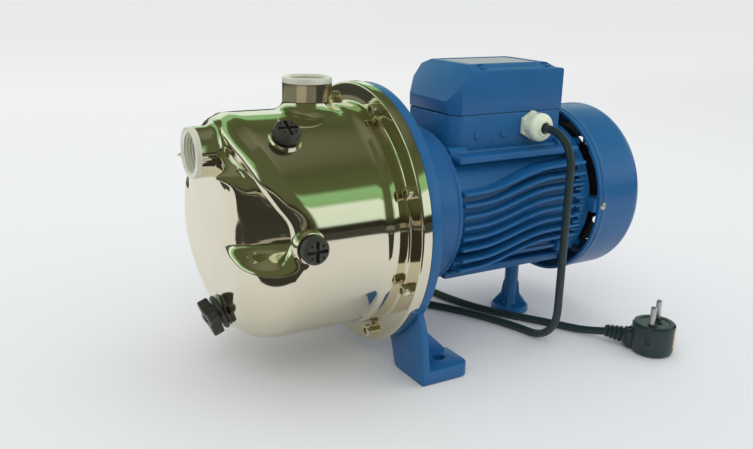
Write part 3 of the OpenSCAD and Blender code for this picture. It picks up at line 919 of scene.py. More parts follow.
@dataclass(frozen=True)
class Studio:
    """A pale floor under soft light, with the bands of a room for bright metal to mirror."""

    floor_half: float = 40.0
    floor_near: Colour = (0.66, 0.68, 0.69)
    floor_far: Colour = (0.90, 0.91, 0.91)
    sky: float = 0.92
    bands: tuple[tuple[float, Colour], ...] = (
        (0.000, (0.50, 0.44, 0.32)), (0.330, (0.76, 0.70, 0.55)), (0.436, (0.90, 0.84, 0.68)),
        (0.450, (0.035, 0.028, 0.018)), (0.545, (0.02, 0.02, 0.015)), (0.560, (0.80, 0.95, 0.85)),
        (0.690, (0.86, 0.98, 0.90)), (0.712, (0.28, 0.52, 0.24)), (0.775, (0.30, 0.58, 0.28)),
        (0.800, (0.10, 0.13, 0.05)), (0.900, (0.085, 0.10, 0.045)),
        (1.000, (0.20, 0.20, 0.14)))
    dark: Triple = (-0.51, -0.86, 0.0)
    gloom_low: Colour = (0.022, 0.018, 0.012)
    gloom_high: Colour = (0.10, 0.12, 0.055)
    backdrop: Colour = (0.93, 0.94, 0.94)
    # what each lamp is called, where it is and aims, its width and its power
    lamps: Sequence[tuple[str, Triple, Triple, float, float]] = (
        ("key", (-0.9, -1.3, 1.7), (0.0, 0.0, 0.1), 1.2, 9),
        ("top", (0.25, 0.15, 1.6), (0.1, 0.0, 0.1), 1.4, 4),
        ("side", (1.5, -0.9, 0.9), (0.1, 0.0, 0.12), 0.9, 3))
    card_z: Pair = (0.5, 1.0)
    soot: Colour = (0.028, 0.023, 0.016)
    near_reach: Pair = (1150, 2000)
    far_reach: Pair = (2000, 38000)
    # the wedge's corners, as reach and angle from its heading, and where they are taken from
    wedge: Sequence[Pair] = ((150, -40), (1300, -42), (1300, 42), (150, 40))
    wedge_heading: float = 239.3
    wedge_at: Pair = (-140, -60)
    # each far card's name, the angles that it spans, and its colour
    far_cards: Sequence[tuple[str, float, float, Colour]] = (
        ("grey_card_a", 60, 195, (0.22, 0.22, 0.155)),
        ("light_card", 195, 240, (0.42, 0.40, 0.30)),
        ("grey_card_b", 240, 285, (0.20, 0.19, 0.135)),
        ("dark_card_far", 285, 420, (0.028, 0.023, 0.016)))

    def build(self) -> None:
        """Makes the floor, the cards, the world and the lights."""
        bpy.context.scene.view_settings.view_transform = "Standard"
        self.floor()
        self.cards()
        self.world()
        for lamp in self.lamps:
            self.light(*lamp)

    def floor(self) -> None:
        """A wide plane that pales into the distance."""
        form = Form()
        bmesh.ops.create_grid(form.bm, x_segments=8, y_segments=8, size=self.floor_half / MM)
        mesh = form.mesh("floor")
        material = bpy.data.materials.new("floor_paper")
        material.use_nodes = True
        board = Board(material.node_tree)
        away = board.add("ShaderNodeSeparateXYZ", None, {"Vector": board.spots()}, "Y")
        share = board.clamp((away + 0.5) / 2.2)
        shader = board.add("ShaderNodeBsdfPrincipled", None,
                           {"Base Color": board.mixed(share, self.floor_near, self.floor_far),
                            "Roughness": 0.9, "Specular IOR Level": 0.1})
        board.add_output(shader)
        mesh.materials.append(material)
        linked("floor", mesh)

    def cards(self) -> None:
        """Cards on the ground that only bright metal mirrors: a ring, a wedge and far sectors."""
        start, stop = self.near_reach
        ring = [(start, self.card_z[0]), (stop, self.card_z[0]), (stop, self.card_z[1]),
                (start, self.card_z[1])]
        near = Form().turned(ring, None, 64)
        near.slab([polar(reach, self.wedge_heading + turn, self.wedge_at)
                   for reach, turn in self.wedge], *self.card_z)
        self.card("dark_cards", near, self.soot)
        start, stop = self.far_reach
        for name, first, last, colour in self.far_cards:
            far = Form()
            step = (last - first) / 9
            for index in range(9):
                left, right = first + step * index, first + step * (index + 1)
                far.slab([polar(start, left), polar(stop, left), polar(stop, right),
                          polar(start, right)], *self.card_z)
            self.card(name, far, colour)

    def card(self, name: str, form: Form, colour: Colour) -> None:
        """Lays one card that neither the camera nor any dull surface sees.

        Args:
            name: the card's name.
            form: its shape, which is used up.
            colour: its colour.
        """
        mesh = form.mesh(name)
        mesh.materials.append(Moulded(name, "rubber", colour, 0.9).material())
        card = linked(name, mesh)
        card.visible_camera = False
        card.visible_diffuse = False
        card.visible_shadow = False

    def world(self) -> None:
        """Plain light for dull surfaces, and bands by height for bright ones."""
        world = bpy.data.worlds.new("studio")
        bpy.context.scene.world = world
        world.use_nodes = True
        board = Board(world.node_tree)
        ray = board.add("ShaderNodeTexCoord", None, None, "Generated")
        height = board.add("ShaderNodeSeparateXYZ", None, {"Vector": ray}, "Z")
        ramp = board.add("ShaderNodeValToRGB", {"stops": self.bands},
                         {"Fac": height * 0.5 + 0.5})
        facing = board.add("ShaderNodeVectorMath", {"operation": "DOT_PRODUCT"},
                           {0: ray, 1: self.dark}, "Value")
        level = facing / (1.0001 - height * height) ** 0.5
        shade = board.clamp((level - 0.60) * 8.0) * board.clamp((height + 0.50) * 9.0)
        gloom = board.mixed(board.clamp((height - 0.02) * 6.0), self.gloom_low, self.gloom_high)
        seen_room = board.mixed(shade, ramp, gloom)
        room = board.add("ShaderNodeBackground", None, {"Color": seen_room, "Strength": 1.0})
        plain = board.add("ShaderNodeBackground", None,
                          {"Color": (1, 1, 1, 1), "Strength": self.sky})
        seen = board.add("ShaderNodeBackground", None,
                         {"Color": (*self.backdrop, 1), "Strength": 1.0})
        glossy = board.add("ShaderNodeLightPath", None, None, "Is Glossy Ray")
        camera = board.add("ShaderNodeLightPath", None, None, "Is Camera Ray")
        dull = board.add("ShaderNodeMixShader", None, {0: glossy, 1: plain, 2: room})
        full = board.add("ShaderNodeMixShader", None, {0: camera, 1: dull, 2: seen})
        board.add_output(full, "ShaderNodeOutputWorld")

    def light(self, name: str, at: Triple, aim: Triple, size: float, power: float) -> None:
        """Hangs a square soft light that bright metal doesn't mirror.

        Args:
            name: the light's name.
            at: where it is, in metres.
            aim: what it points at.
            size: its width.
            power: its power, in watts.
        """
        data = bpy.data.lights.new(name, "AREA")
        data.size = size
        data.energy = power
        lamp = linked(name, data)
        lamp.location = at
        lamp.rotation_euler = (Vector(aim) - Vector(at)).to_track_quat("-Z", "Y").to_euler()
        lamp.visible_camera = False
        lamp.visible_glossy = False


# ---------------------------------------------------------------- mains lead


@dataclass
class MainsLead:
    """The lead from the gland to its plug: a free stretch, a coil behind the pump, and a tail."""

    diameter: float = 7.0
    exit: Triple = (118, -58, 191)
    length: float = 1.486
    lead: Sequence[Triple] = (
        (118, -61, 191), (118, -65, 191), (118, -71.5, 190), (118, -78, 187.2),
        (118, -83.8, 182.8), (118, -88.2, 177), (118, -91, 170), (118, -92, 163), (118, -92, 150),
        (118, -92, 130), (118, -92, 110), (118, -92, 90), (118, -92, 70), (118, -92, 50),
        (118, -92, 36), (118, -90.4, 25.7), (118, -85.9, 16.8), (117.8, -78.8, 9.7),
        (117.3, -70, 5.2), (116, -60, 3.6), (114, -51, 3.6), (111, -42, 3.6), (107, -30, 3.6),
        (101.5, -16, 3.6), (94.5, -1, 3.6), (86.5, 13, 3.6), (78, 27, 3.6), (69, 41, 3.6),
        (59.5, 55, 3.6), (50, 68.5, 3.6), (40.5, 82, 3.6), (32, 94, 3.6), (24, 106, 3.6))
    tail: Sequence[Triple] = (
        (88.5, 114, 10.4), (88.6, 108, 9.9), (89, 98, 8.6), (90, 86, 6.7), (91.6, 74, 4.9),
        (93.6, 62, 3.9), (96, 50, 3.6), (100, 34, 3.6), (105, 18, 3.6), (111, 4, 3.6),
        (118, -9, 3.6), (126.5, -23, 3.6), (136, -37, 3.6), (145.5, -51, 3.6), (153, -64, 3.7),
        (160, -78, 4.4), (166, -90, 6.3), (171, -100, 8.6))
    coil_at: Pair = (52, 138)
    coil_start: float = -143.13
    # turned angle, radius and height along the coil
    coil_radius: Sequence[Pair] = ((0, 40), (320, 40), (352, 33), (690, 33), (715, 29.5),
                                   (937, 29.5), (1000, 40), (1050, 40), (1080, 36.5),
                                   (1296.9, 36.5))
    coil_height: Sequence[Pair] = ((0, 3.6), (645, 3.6), (690, 10.2), (1296.9, 10.4))
    plug_at: Triple = (171, -100, 9.5)
    plug_turn: float = -62
    plug_middle: float = 42.0

    def coil(self) -> list[Triple]:
        """Winds the coil, clockwise seen from above.

        Returns:
            Points along its middle line.
        """
        total = self.coil_radius[-1][0]
        steps = int(total / 6)
        points = []
        for i in range(steps + 1):
            turned = total * i / steps
            radius = along(self.coil_radius, turned)
            angle = math.radians(self.coil_start - turned)
            points.append((self.coil_at[0] + radius * math.cos(angle),
                           self.coil_at[1] + radius * math.sin(angle),
                           along(self.coil_height, turned)))
        return points

    def route(self) -> list[Vector]:
        """Joins the lead, the coil and the tail.

        Returns:
            Points along the cord's whole middle line, in metres.
        """
        knots = [Vector(p) for p in [(118, -56, 191), *self.lead, *self.coil(), *self.tail]]
        smooth = [through(knots, i / 2) for i in range(2 * (len(knots) - 1) + 1)]
        return [p * MM for p in smooth]

    def cord(self) -> tuple[bpy.types.Object, float]:
        """The cord as a curve.

        Returns:
            The cord and its length in metres.
        """
        points = self.route()
        data = bpy.data.curves.new("mains_lead", "CURVE")
        data.dimensions = "3D"
        data.bevel_depth = self.diameter / 2 * MM
        data.bevel_resolution = 5
        data.use_fill_caps = True
        spline = data.splines.new("POLY")
        spline.points.add(len(points) - 1)
        for point, where in zip(spline.points, points):
            point.co = (*where, 1)
        spline.use_smooth = True
        obj = linked("mains_lead", data)
        length = sum((b - a).length for a, b in zip(points, points[1:]))
        return dressed(obj, SHEATH, "pump", ("cord_lead", "cord_coil", "cord_tail")), length

    def tie(self) -> bpy.types.Object:
        """The band that holds the coil's turns together.

        Returns:
            The piece.
        """
        where = place((*self.coil_at, 0), (0, 0, 100))
        inner, outer, top = 25.4, 44.4, 14.6
        wrap = soft([(inner, 0.05), (outer, 0.05), (outer, 7.5), (40.5, top), (30, top),
                     (inner, 12)], 2.5)
        core = soft([(inner + 0.9, 0.35), (outer - 0.9, 0.35), (outer - 0.9, 7.2),
                     (40, top - 0.8), (30.4, top - 0.8), (inner + 0.9, 11.6)], 2.2)
        upright = where @ place(turn=(90, 0, 0))
        band = Form().slab(wrap, -4, 4, upright)
        band.cut(Form().slab(core, -5, 5, upright))
        return band.piece("coil_band", RUBBER, nodes=("coil_tie",))

    def relief(self, here: Matrix) -> bpy.types.Object:
        """The plug's ribbed strain relief.

        Args:
            here: the matrix of the plug, with local +X along it.

        Returns:
            The piece.
        """
        ribs: list[Pair] = [(0, -0.6), (4.2, -0.6), (4.9, 0)]
        for i in range(4):
            start = 0.8 + 3.9 * i
            size = 5.6 + 0.5 * i
            ribs += [(size, start), (size + 0.1, start + 2.3), (size - 1.3, start + 2.7),
                     (size - 1.2, start + 3.6)]
        ribs += [(8.0, 17.2), (8.4, 20.5), (0, 20.5)]
        ahead = here @ place(turn=(0, 90, 0))
        relief = Form().turned(soft(ribs, 0.5, False), ahead, 40, closed=False)
        return relief.piece("cord_relief", PLUG_PLASTIC, nodes=("plug_relief",))

    def shell(self, here: Matrix) -> bpy.types.Object:
        """The plug's round body with its neck and finger grooves.

        Args:
            here: the matrix of the plug, with local +X along it.

        Returns:
            The piece.
        """
        middle = here @ place((self.plug_middle, 0, 0))
        side = [(0, -9.4), (14.2, -9.4)] + arc((14.2, -5.6), 3.8, -90, 0, 5) + [
            (18.3, -2), (18.5, 4), (18.4, 12)] + arc((16.2, 16.2), 2.2, 0, 90, 4) + [
            (13.6, 18.4), (13.2, 17.7), (0, 17.7)]
        body = Form().turned(side, middle, 64, closed=False)
        body.joined(Form().block((19.6, -8.6, -8.8), (38, 8.6, 8.8), here, 3.2, 4))
        grooves = Form()
        for turn in (0, 180):
            grooves.block((16.4, -3.6, -3), (21, 3.6, 20), middle @ place(turn=(0, 0, turn)), 0.6)
        for turn in (90, 270):
            grooves.block((17.2, -2.2, 3), (21, 2.2, 20), middle @ place(turn=(0, 0, turn)), 0.5)
        grooves.drum(2.6, 8, 22, middle @ place((4.5, 0, 0)), 20)
        body.cut(grooves)
        return body.piece("plug_shell", PLUG_PLASTIC, nodes=("plug_body",))

    def contacts(self, here: Matrix) -> list[bpy.types.Object]:
        """The plug's two pins with their collars, and its two earth contacts.

        Args:
            here: the matrix of the plug, with local +X along it.

        Returns:
            The pieces.
        """
        pin = [(0, 10), (2.4, 10), (2.4, 34.6)] + arc((1.2, 34.6), 1.2, 0, 90, 4) + [(0, 35.8)]
        foot = soft([(0, 17), (3.9, 17), (3.6, 19.4), (0, 19.4)], 0.5, False)
        spots = [here @ place((self.plug_middle, s * 9.5, 0)) for s in (-1, 1)]
        pins = Form().turned(pin, None, 24, closed=False).repeated(spots)
        collars = Form().turned(foot, None, 24, closed=False).repeated(spots)
        middle = here @ place((self.plug_middle, 0, 0))
        clips = Form().block((17.2, -2.6, -2), (18.5, 2.6, 16.4), None, 0.3)
        clips.repeated([middle @ place(turn=(0, 0, a)) for a in (0, 180)])
        return [pins.piece("plug_blades", PLAIN_STEEL, nodes=("plug_pins",)),
                collars.piece("pin_collars", PLUG_PLASTIC),
                clips.piece("earth_clips", BRASS, nodes=("plug_earth",))]

    def build(self) -> None:
        cord, length = self.cord()
        here = place(self.plug_at, (0, 0, self.plug_turn))
        with_pieces = [self.relief(here), self.shell(here), *self.contacts(here), self.tie()]
        log.info("the lead is %.3f m long", length)


# ---------------------------------------------------------------- pump head


@dataclass
class Casing:
    """The stainless pump casing: a drawn cylinder whose front is pressed in at both sides."""

    radius: float = 90.5
    front: float = -164.4
    corner: float = 36.0
    turn_x: float = -124.0
    middle: float = low_side("pump_casing", X)
    wall: float = 2.0
    flange_front: float = -39.0
    back: float = high_side("pump_casing", X)
    flange_r: float = AXIS_H - low_side("pump_casing", Z)
    port_r: float = high_side("suction_port", Y)
    bore_r: float = 15.15
    rim: float = 4.4
    suction_h: float = middle_of("suction_port", Z) - AXIS_H
    suction_face: float = low_side("suction_port", X)
    discharge_x: float = middle_of("discharge_port", X)
    discharge_h: float = high_side("discharge_port", Z) - AXIS_H
    boss_r: float = 11.0
    boss_face: float = 92.5
    brow: float = -160.8
    thread_pitch: float = 2.31
    # angle above the near side, and place along the shaft
    ridge: Sequence[Pair] = ((0, -135), (8, -131.5), (14, -132), (26, -141.5), (36, -148.5),
                             (46, -152.5), (54, -155), (62, -157.3), (72, -158.5), (90, -158.5))
    valley: Sequence[Pair] = ((0, -129), (8, -126.5), (14, -127.5), (26, -135), (36, -142),
                              (44, -148.5), (50, -153), (58, -156.5), (72, -158.2), (90, -158.3))
    nose: Sequence[Pair] = ((0, 46), (12, 47), (25, 51), (32, 56), (38, 62.5), (44, 67), (60, 68),
                            (90, 68))
    crest_r: float = 79.5

    def floor_of(self, radius: float, angle: float) -> float:
        """How the pressed front lies inside the crest of its ridge.

        Args:
            radius: the distance from the shaft.
            angle: degrees above the horizontal on either side.

        Returns:
            The place along the shaft.
        """
        floor, top, edge = (swept(stops, angle) for stops in (self.valley, self.ridge, self.nose))
        deep = max(floor - self.brow, 0.0)
        wide = 74.0 - edge
        stops = [(0, self.middle), (0.5 * edge, self.middle + 0.7), (edge - 12, self.middle + 1.7),
                 (edge - 5, self.middle + 3.2), (edge + 2, self.brow + 0.13 * deep),
                 (edge + 0.4 * wide, self.brow + 0.41 * deep),
                 (edge + 0.7 * wide, self.brow + 0.74 * deep), (74, floor),
                 (77.0, floor * 0.55 + top * 0.45), (self.crest_r, top)]
        return swept(stops, radius)

    def pressed(self, share: float, angle: float) -> Vector:
        """The pressed front's outline.

        Args:
            share: 0 at the middle, 1 where the plain corner starts, 2 where it ends.
            angle: degrees above the horizontal on either side.

        Returns:
            The radius and the place along the shaft.
        """
        flat = self.radius - self.corner
        if share <= 1:
            return Vector((flat * share, self.floor_of(flat * share, angle)))
        if share <= 1.7:
            radius = flat + (self.crest_r - flat) * (share - 1) / 0.7
            return Vector((radius, self.floor_of(radius, angle)))
        top = swept(self.ridge, angle)
        knots = [(1.5, 76.5, top + 1.2), (1.7, self.crest_r, top), (1.8, 82.2, top + 0.8),
                 (1.89, 84.8, top + 2.9), (1.98, 87.3, top + 6.0), (2.08, 89.4, top + 10.6),
                 (2.22, self.radius, top + 17.0), (3.0, self.radius, -100.0)]
        place_on = max(i for i, k in enumerate(knots[:-1]) if share >= k[0])
        a, b = knots[place_on], knots[place_on + 1]
        points = [Vector((k[1], k[2])) for k in knots]
        return through(points, place_on + (share - a[0]) / (b[0] - a[0]))

    def skin(self) -> Form:
        """The casing's outer sheet, turned plain and then pressed.

        Returns:
            The sheet, without a thickness.
        """
        flat = self.radius - self.corner
        profile: list[Pair] = [(flat * i / 72, self.middle + (self.front - self.middle)
                                * (i / 72) ** 2.2) for i in range(73)]
        depth = (self.turn_x - self.front) / self.corner
        profile += [(r, self.turn_x + (x - self.turn_x) * depth)
                    for r, x in arc((flat, self.turn_x), self.corner, 270, 360, 56)[1:]]
        profile += [(self.radius, self.turn_x + 2 * i) for i in range(1, 12)]
        profile += [(self.radius, x) for x in (-90, -80, -70, -62, -57.5)]
        bead = self.radius + 2.0
        profile += [(self.radius + 0.5, -56), (self.radius + 1.6, -54.3), (bead, -52.8)]
        profile += [(bead, -48), (bead, -43)]
        profile += arc((bead + 2.4, self.flange_front - 2.4), 2.4, 180, 90, 5)
        profile += [(100, self.flange_front), (self.flange_r - 2.2, self.flange_front)]
        profile += arc((self.flange_r - 2, self.flange_front + 2), 2, 270, 360, 5)
        profile += [(self.flange_r, self.back)]
        return Form().turned(profile, on_shaft(), 240, closed=False).moved(self.press)

    def press(self, spot: Vector) -> Vector:
        """Where a point of the plain casing goes when the front is pressed.

        Args:
            spot: the point.

        Returns:
            Its new place.
        """
        if spot.x > -99.5:
            return spot
        across, above = spot.y, spot.z - AXIS_H
        radius = math.hypot(across, above)
        if radius < 1e-3:
            return Vector((self.middle, spot.y, spot.z))
        flat = self.radius - self.corner
        depth = (self.turn_x - self.front) / self.corner
        if spot.x < self.turn_x and radius <= flat + 1e-3:
            share = radius / flat
        elif spot.x < self.turn_x:
            share = 1 + math.atan2(radius - flat, (self.turn_x - spot.x) / depth) / RIGHT_ANGLE
        else:
            share = 2 + (spot.x - self.turn_x) / (-100 - self.turn_x)
        angle = math.degrees(math.atan2(above, abs(across)))
        weight = blend((angle + 10.5) / 13) if across < 0 else blend((angle - 22) / 28)
        aim = self.pressed(share, max(angle, 0))
        new_r = radius + (aim.x - radius) * weight
        new_x = spot.x + (aim.y - spot.x) * weight
        if angle < 0 and spot.x < self.turn_x:
            ahead = (self.turn_x - spot.x) / (self.turn_x - self.front)
            new_x += 4.2 * ahead * blend((-angle - 4) / 70) * blend(radius / 54)
        return Vector((new_x, across * new_r / radius, AXIS_H + above * new_r / radius))

    def saddle(self) -> Form:
        """The flared neck that the discharge port stands on.

        Returns:
            The solid.
        """
        foot, top = self.port_r + 8.5, self.port_r
        crown = self.discharge_h - self.rim
        profile = [(15.6, crown), (top, crown), (top, self.radius + 7.0)]
        profile += [(top + 0.1 + (foot - top) * (i / 12) ** 1.5,
                     self.radius + 6.2 * (1 - i / 12) ** 2.4) for i in range(13)]
        profile += [(foot, self.radius - 2.0), (15.6, self.radius - 4.0)]
        form = Form().turned(profile, place((self.discharge_x, 0, AXIS_H)), 96)

        def follow(spot: Vector) -> Vector:
            """Lets the neck's foot follow the cylinder.

            Args:
                spot: a point of the neck.

            Returns:
                Its new place.
            """
            drop = self.radius - math.sqrt(max(self.radius ** 2 - spot.y ** 2, 1.0))
            out = math.hypot(spot.x - self.discharge_x, spot.y)
            share = blend((out - top) / (foot - top)) * 0.5 + blend((out - top) / 3) * 0.5
            return Vector((spot.x, spot.y, spot.z - drop * share))

        return form.moved(follow)

    def boss(self, where: Matrix) -> Form:
        """A plug's boss: a flat seat with a soft foot.

        Args:
            where: the matrix whose local +Z runs out through the boss.

        Returns:
            The solid.
        """
        radius, face = self.boss_r, self.boss_face
        profile = [(0, self.radius - 5), (radius + 1.7, self.radius - 5),
                   (radius + 1.7, face - 2.4), (radius + 0.8, face - 1.3),
                   (radius + 0.3, face - 0.3), (radius - 0.4, face), (0, face)]
        return Form().turned(profile, where, 64, closed=False)

    def ring(self, length: float) -> list[Pair]:
        """A threaded port's outline, with its face at 0.

        Args:
            length: how long the port is.

        Returns:
            The outline's (radius, along) points.
        """
        body = self.port_r - 0.6
        outline = soft([(self.bore_r + 1.6, 0.0), (self.port_r, 0.0), (self.port_r, self.rim)],
                       1.1, False) + [(body, self.rim), (body, length)]
        thread: list[Pair] = []
        for i in range(int((length - 3) / self.thread_pitch)):
            start = 1.6 + i * self.thread_pitch
            thread += [(self.bore_r + 0.15, start), (self.bore_r + 0.15, start + 0.35),
                       (self.bore_r + 1.3, start + 1.1), (self.bore_r + 1.3, start + 1.45)]
        return outline + [(self.bore_r, length)] + thread[::-1]

    def build(self) -> None:
        """Makes the casing and its ports."""
        skin = self.skin()
        bmesh.ops.recalc_face_normals(skin.bm, faces=skin.bm.faces)
        bmesh.ops.solidify(skin.bm, geom=skin.bm.faces[:], thickness=self.wall)
        bmesh.ops.recalc_face_normals(skin.bm, faces=skin.bm.faces)
        neck = place((self.suction_face, 0, AXIS_H + self.suction_h), (0, 90, 0))
        collar = [(14, self.rim), (self.port_r, self.rim), (self.port_r, 13.5),
                  (self.port_r + 0.5, 15.6), (self.port_r + 1.6, 17.2), (self.port_r + 3.6, 18.6),
                  (self.port_r + 5, 24), (14, 24)]
        skin.joined(Form().turned(collar, neck, 96))
        skin.joined(self.saddle())
        skin.joined(self.boss(FILLER_AT))
        skin.joined(self.boss(SIDE_AT))
        skin.joined(Form().drum(17.5, 20, 33, DRAIN_AT, 64, 1.0))
        bores = Form().drum(self.port_r - 0.55, -5, 45, neck, 64)
        bores.drum(self.port_r - 0.55, 60, 130, place((self.discharge_x, 0, AXIS_H)), 64)
        skin.cut(bores)
        skin.piece("pump_casing_skin", STEEL, nodes=("pump_casing",), sharp=40)
        suction = Form().turned(self.ring(30), neck, 72)
        suction.piece("suction_port_ring", PORT_STEEL, nodes=("suction_port",))
        length = self.discharge_h - self.radius + 12
        top = place((self.discharge_x, 0, AXIS_H + self.discharge_h), (180, 0, 0))
        discharge = Form().turned(self.ring(length), top, 72)
        discharge.piece("discharge_port_ring", PORT_STEEL, nodes=("discharge_port",))


@dataclass
class CasingPlugs:
    """The filler, side and drain plugs with their seals."""

    face: float = Casing.boss_face
    head_r: float = 10.4
    drain_face: float = 35.7

    def slotted(self, where: Matrix, name: str) -> None:
        """Makes a round plug with a cross slot and four dimples, and its seal.

        Args:
            where: the matrix whose local +Z runs out through the plug.
            name: which plug it is.
        """
        base = self.face + 1.8
        head = [(0, base - 14), (5.4, base - 14), (6, base - 13.2), (6, base)]
        head += soft([(6, base), (self.head_r, base), (self.head_r, base + 5.6),
                      (self.head_r - 2.2, base + 8), (0, base + 8)], 0.9, False)[1:]
        plug = Form().turned(head, where, 64, closed=False)
        slots = Form().block((-7.9, -1.3, base + 4.6), (7.9, 1.3, base + 9), where)
        plug.cut(slots)
        plug.cut(Form().block((-1.3, -7.9, base + 4.6), (1.3, 7.9, base + 9), where))
        dots = Form()
        for turn in (45, 135, 225, 315):
            dot = where @ place(turn=(0, 0, turn)) @ place((6.3, 0, 0))
            dots.drum(1.0, base + 7, base + 9, dot, 12)
        plug.cut(dots)
        plug.eased(0.35, 2, 50)
        plug.piece(f"{name}_plug_head", KNOB, f"{name}_cap", (f"{name}_plug",))
        ring = soft([(6.4, self.face + 0.1), (9.3, self.face + 0.1), (9.6, self.face + 0.9),
                     (9.3, self.face + 1.7), (6.4, self.face + 1.7)], 0.4)
        seal = Form().turned(ring, where, 48)
        seal.piece(f"{name}_plug_seal", RUBBER, f"{name}_ring", (f"{name}_seal",))

    def drain(self) -> None:
        """The drain plug: a four winged knob on a metal washer."""
        base = self.drain_face
        stem = [(0, base - 14), (7, base - 14), (7, base), (14.4, base), (14.4, base + 2),
                (13.2, base + 3), (9, base + 3), (8.6, base + 11), (0, base + 11)]
        knob = Form().turned(soft(stem, 0.6, False), DRAIN_AT, 64, closed=False)
        outline: list[Pair] = []
        for i in range(96):
            angle = 360 * i / 96
            lobe = 0.5 + 0.5 * math.cos(math.radians(4 * (angle - 20)))
            outline.append(polar(8.8 + 6.7 * lobe ** 1.5, angle))
        wings = Form().slab(outline, base + 4.6, base + 13.4, DRAIN_AT).eased(1.3, 3, 50)
        knob.joined(wings)
        knob.cut(Form().drum(4.2, base + 11.5, base + 20, DRAIN_AT, 32))
        knob.piece("drain_knob", KNOB, "drain_cap", ("drain_plug",))
        ring = soft([(7.3, 33.1), (13.4, 33.1), (13.8, 34.3), (13.4, 35.6), (7.3, 35.6)], 0.5)
        washer = Form().turned(ring, DRAIN_AT, 64)
        washer.piece("drain_washer", PLAIN_STEEL, "drain_ring", ("drain_gasket",))

    def build(self) -> None:
        """Makes the three plugs."""
        self.slotted(FILLER_AT, "filler")
        self.slotted(SIDE_AT, "side")
        self.drain()


@dataclass
class FlangeScrews:
    """Eight socket head screws around the casing's flange."""

    pitch_r: float = 100.0
    head_l: float = 6.6
    face: float = Casing.flange_front
    count: int = 8

    def build(self) -> None:
        """Makes one screw and copies it around the flange."""
        top = -self.head_l
        head = soft([(0, top), (4.4, top), (5, top + 0.8), (5, -0.4), (4.7, 0)], 0.35, False, 2)
        head += [(3, 0), (3, 16.8), (0, 16.8)]
        screw = Form().turned(head, None, 32, closed=False)
        screw.cut(Form().drum(2.7, -12, -2.6, None, 6))
        screw.eased(0.2, 1, 60)
        places = [on_shaft(self.face, (i + 0.5) * 360 / self.count)
                  @ place((self.pitch_r, 0, 0), (0, 0, 11 * i)) for i in range(self.count)]
        screw.repeated(places).piece("flange_cap_screws", YELLOW_ZINC, nodes=("flange_screws",))


# ---------------------------------------------------------------- bracket and motor


@dataclass
class Bracket:
    """The cast bracket between pump and motor, with its two feet."""

    flange_r: float = high_side("pump_bracket", Z) - AXIS_H
    face: float = low_side("pump_bracket", X)
    flange_back: float = -20.0
    bell_r: float = 68.5
    bell_end: float = high_side("pump_bracket", X)
    leg_front: float = -27.0
    foot_y: Pair = (62.0, 100.0)
    foot_end: float = 19.0
    foot_h: float = 12.0
    hole_y: float = 81.0

    def leg(self, side: int) -> Form:
        """One leg with its foot, rib and bolt hole.

        Args:
            side: 1 for the far leg, -1 for the near one.

        Returns:
            The solid.
        """
        inner, outer = self.foot_y
        front = self.leg_front
        plate = soft([(40, 46), (50, 20), (57, 0.05), (outer, 0.05), (outer, 16), (95, 44),
                      (84, 66), (60, 70)], 5, steps=4)
        lie = place((front, 0, 0), (90, 0, 90))
        leg = Form().slab(plate, 0, 6.4, lie).eased(1.0, 2, 50)
        foot = [(front, inner), (front, outer)]
        foot += arc((self.foot_end - 9, outer - 9), 9, 90, 0, 8)
        foot += arc((self.foot_end - 9, inner + 9), 9, 0, -90, 8)
        leg.joined(Form().slab(foot, 0.0, self.foot_h).eased(1.6, 3, 50))
        rib = soft([(front + 2, self.foot_h - 2), (self.foot_end - 4, self.foot_h - 2),
                    (self.foot_end - 5, self.foot_h + 1.5), (front + 6.5, 47), (front + 2, 52)],
                   2.5)
        lean = place((0, inner + 7.4, 0), (90, 0, 0))
        leg.joined(Form().slab(rib, 0, 6.8, lean).eased(1.1, 2, 50))
        leg.cut(Form().drum(5.5, -2, 20, place((0, self.hole_y, 0)), 48))
        pad = Form().turned(soft([(5.5, 11.4), (10.4, 11.4), (10, 12.6), (5.5, 12.6)], 0.4),
                            place((0, self.hole_y, 0)), 48)
        leg.take(pad.bm)
        if side < 0:
            bmesh.ops.scale(leg.bm, vec=(1, -1, 1), verts=leg.bm.verts)
            bmesh.ops.reverse_faces(leg.bm, faces=leg.bm.faces)
        return leg

    def build(self) -> None:
        """Makes the casting."""
        disc = soft([(15, self.face), (self.flange_r, self.face),
                     (self.flange_r, self.flange_back), (52, self.flange_back), (50.5, -6),
                     (45, -5), (44, -16), (15, -16)], 1.6)
        cast = Form().turned(disc, on_shaft(), 144)
        rim, waist, end = self.bell_r, self.bell_r - 1.1, self.bell_end
        bell = soft([(20.1, -6), (66.2, -6), (rim, -2.5), (rim, 8), (waist, 9), (waist, 24),
                     (rim, 25), (rim, end), (62.3, end), (62.3, 3), (27, 3), (27, 20),
                     (20.1, 20)], 1.2)
        cast.joined(Form().turned(bell, on_shaft(), 144))
        for angle in range(45, 360, 45):
            rib = Form().block((48, -3.6, self.flange_back - 0.6), (66, 3.6, -4),
                               on_shaft(0, angle), 1.2)
            cast.joined(rib)
        for side in (1, -1):
            cast.joined(self.leg(side))
        cast.piece("bracket_casting", PAINT, nodes=("pump_bracket",))


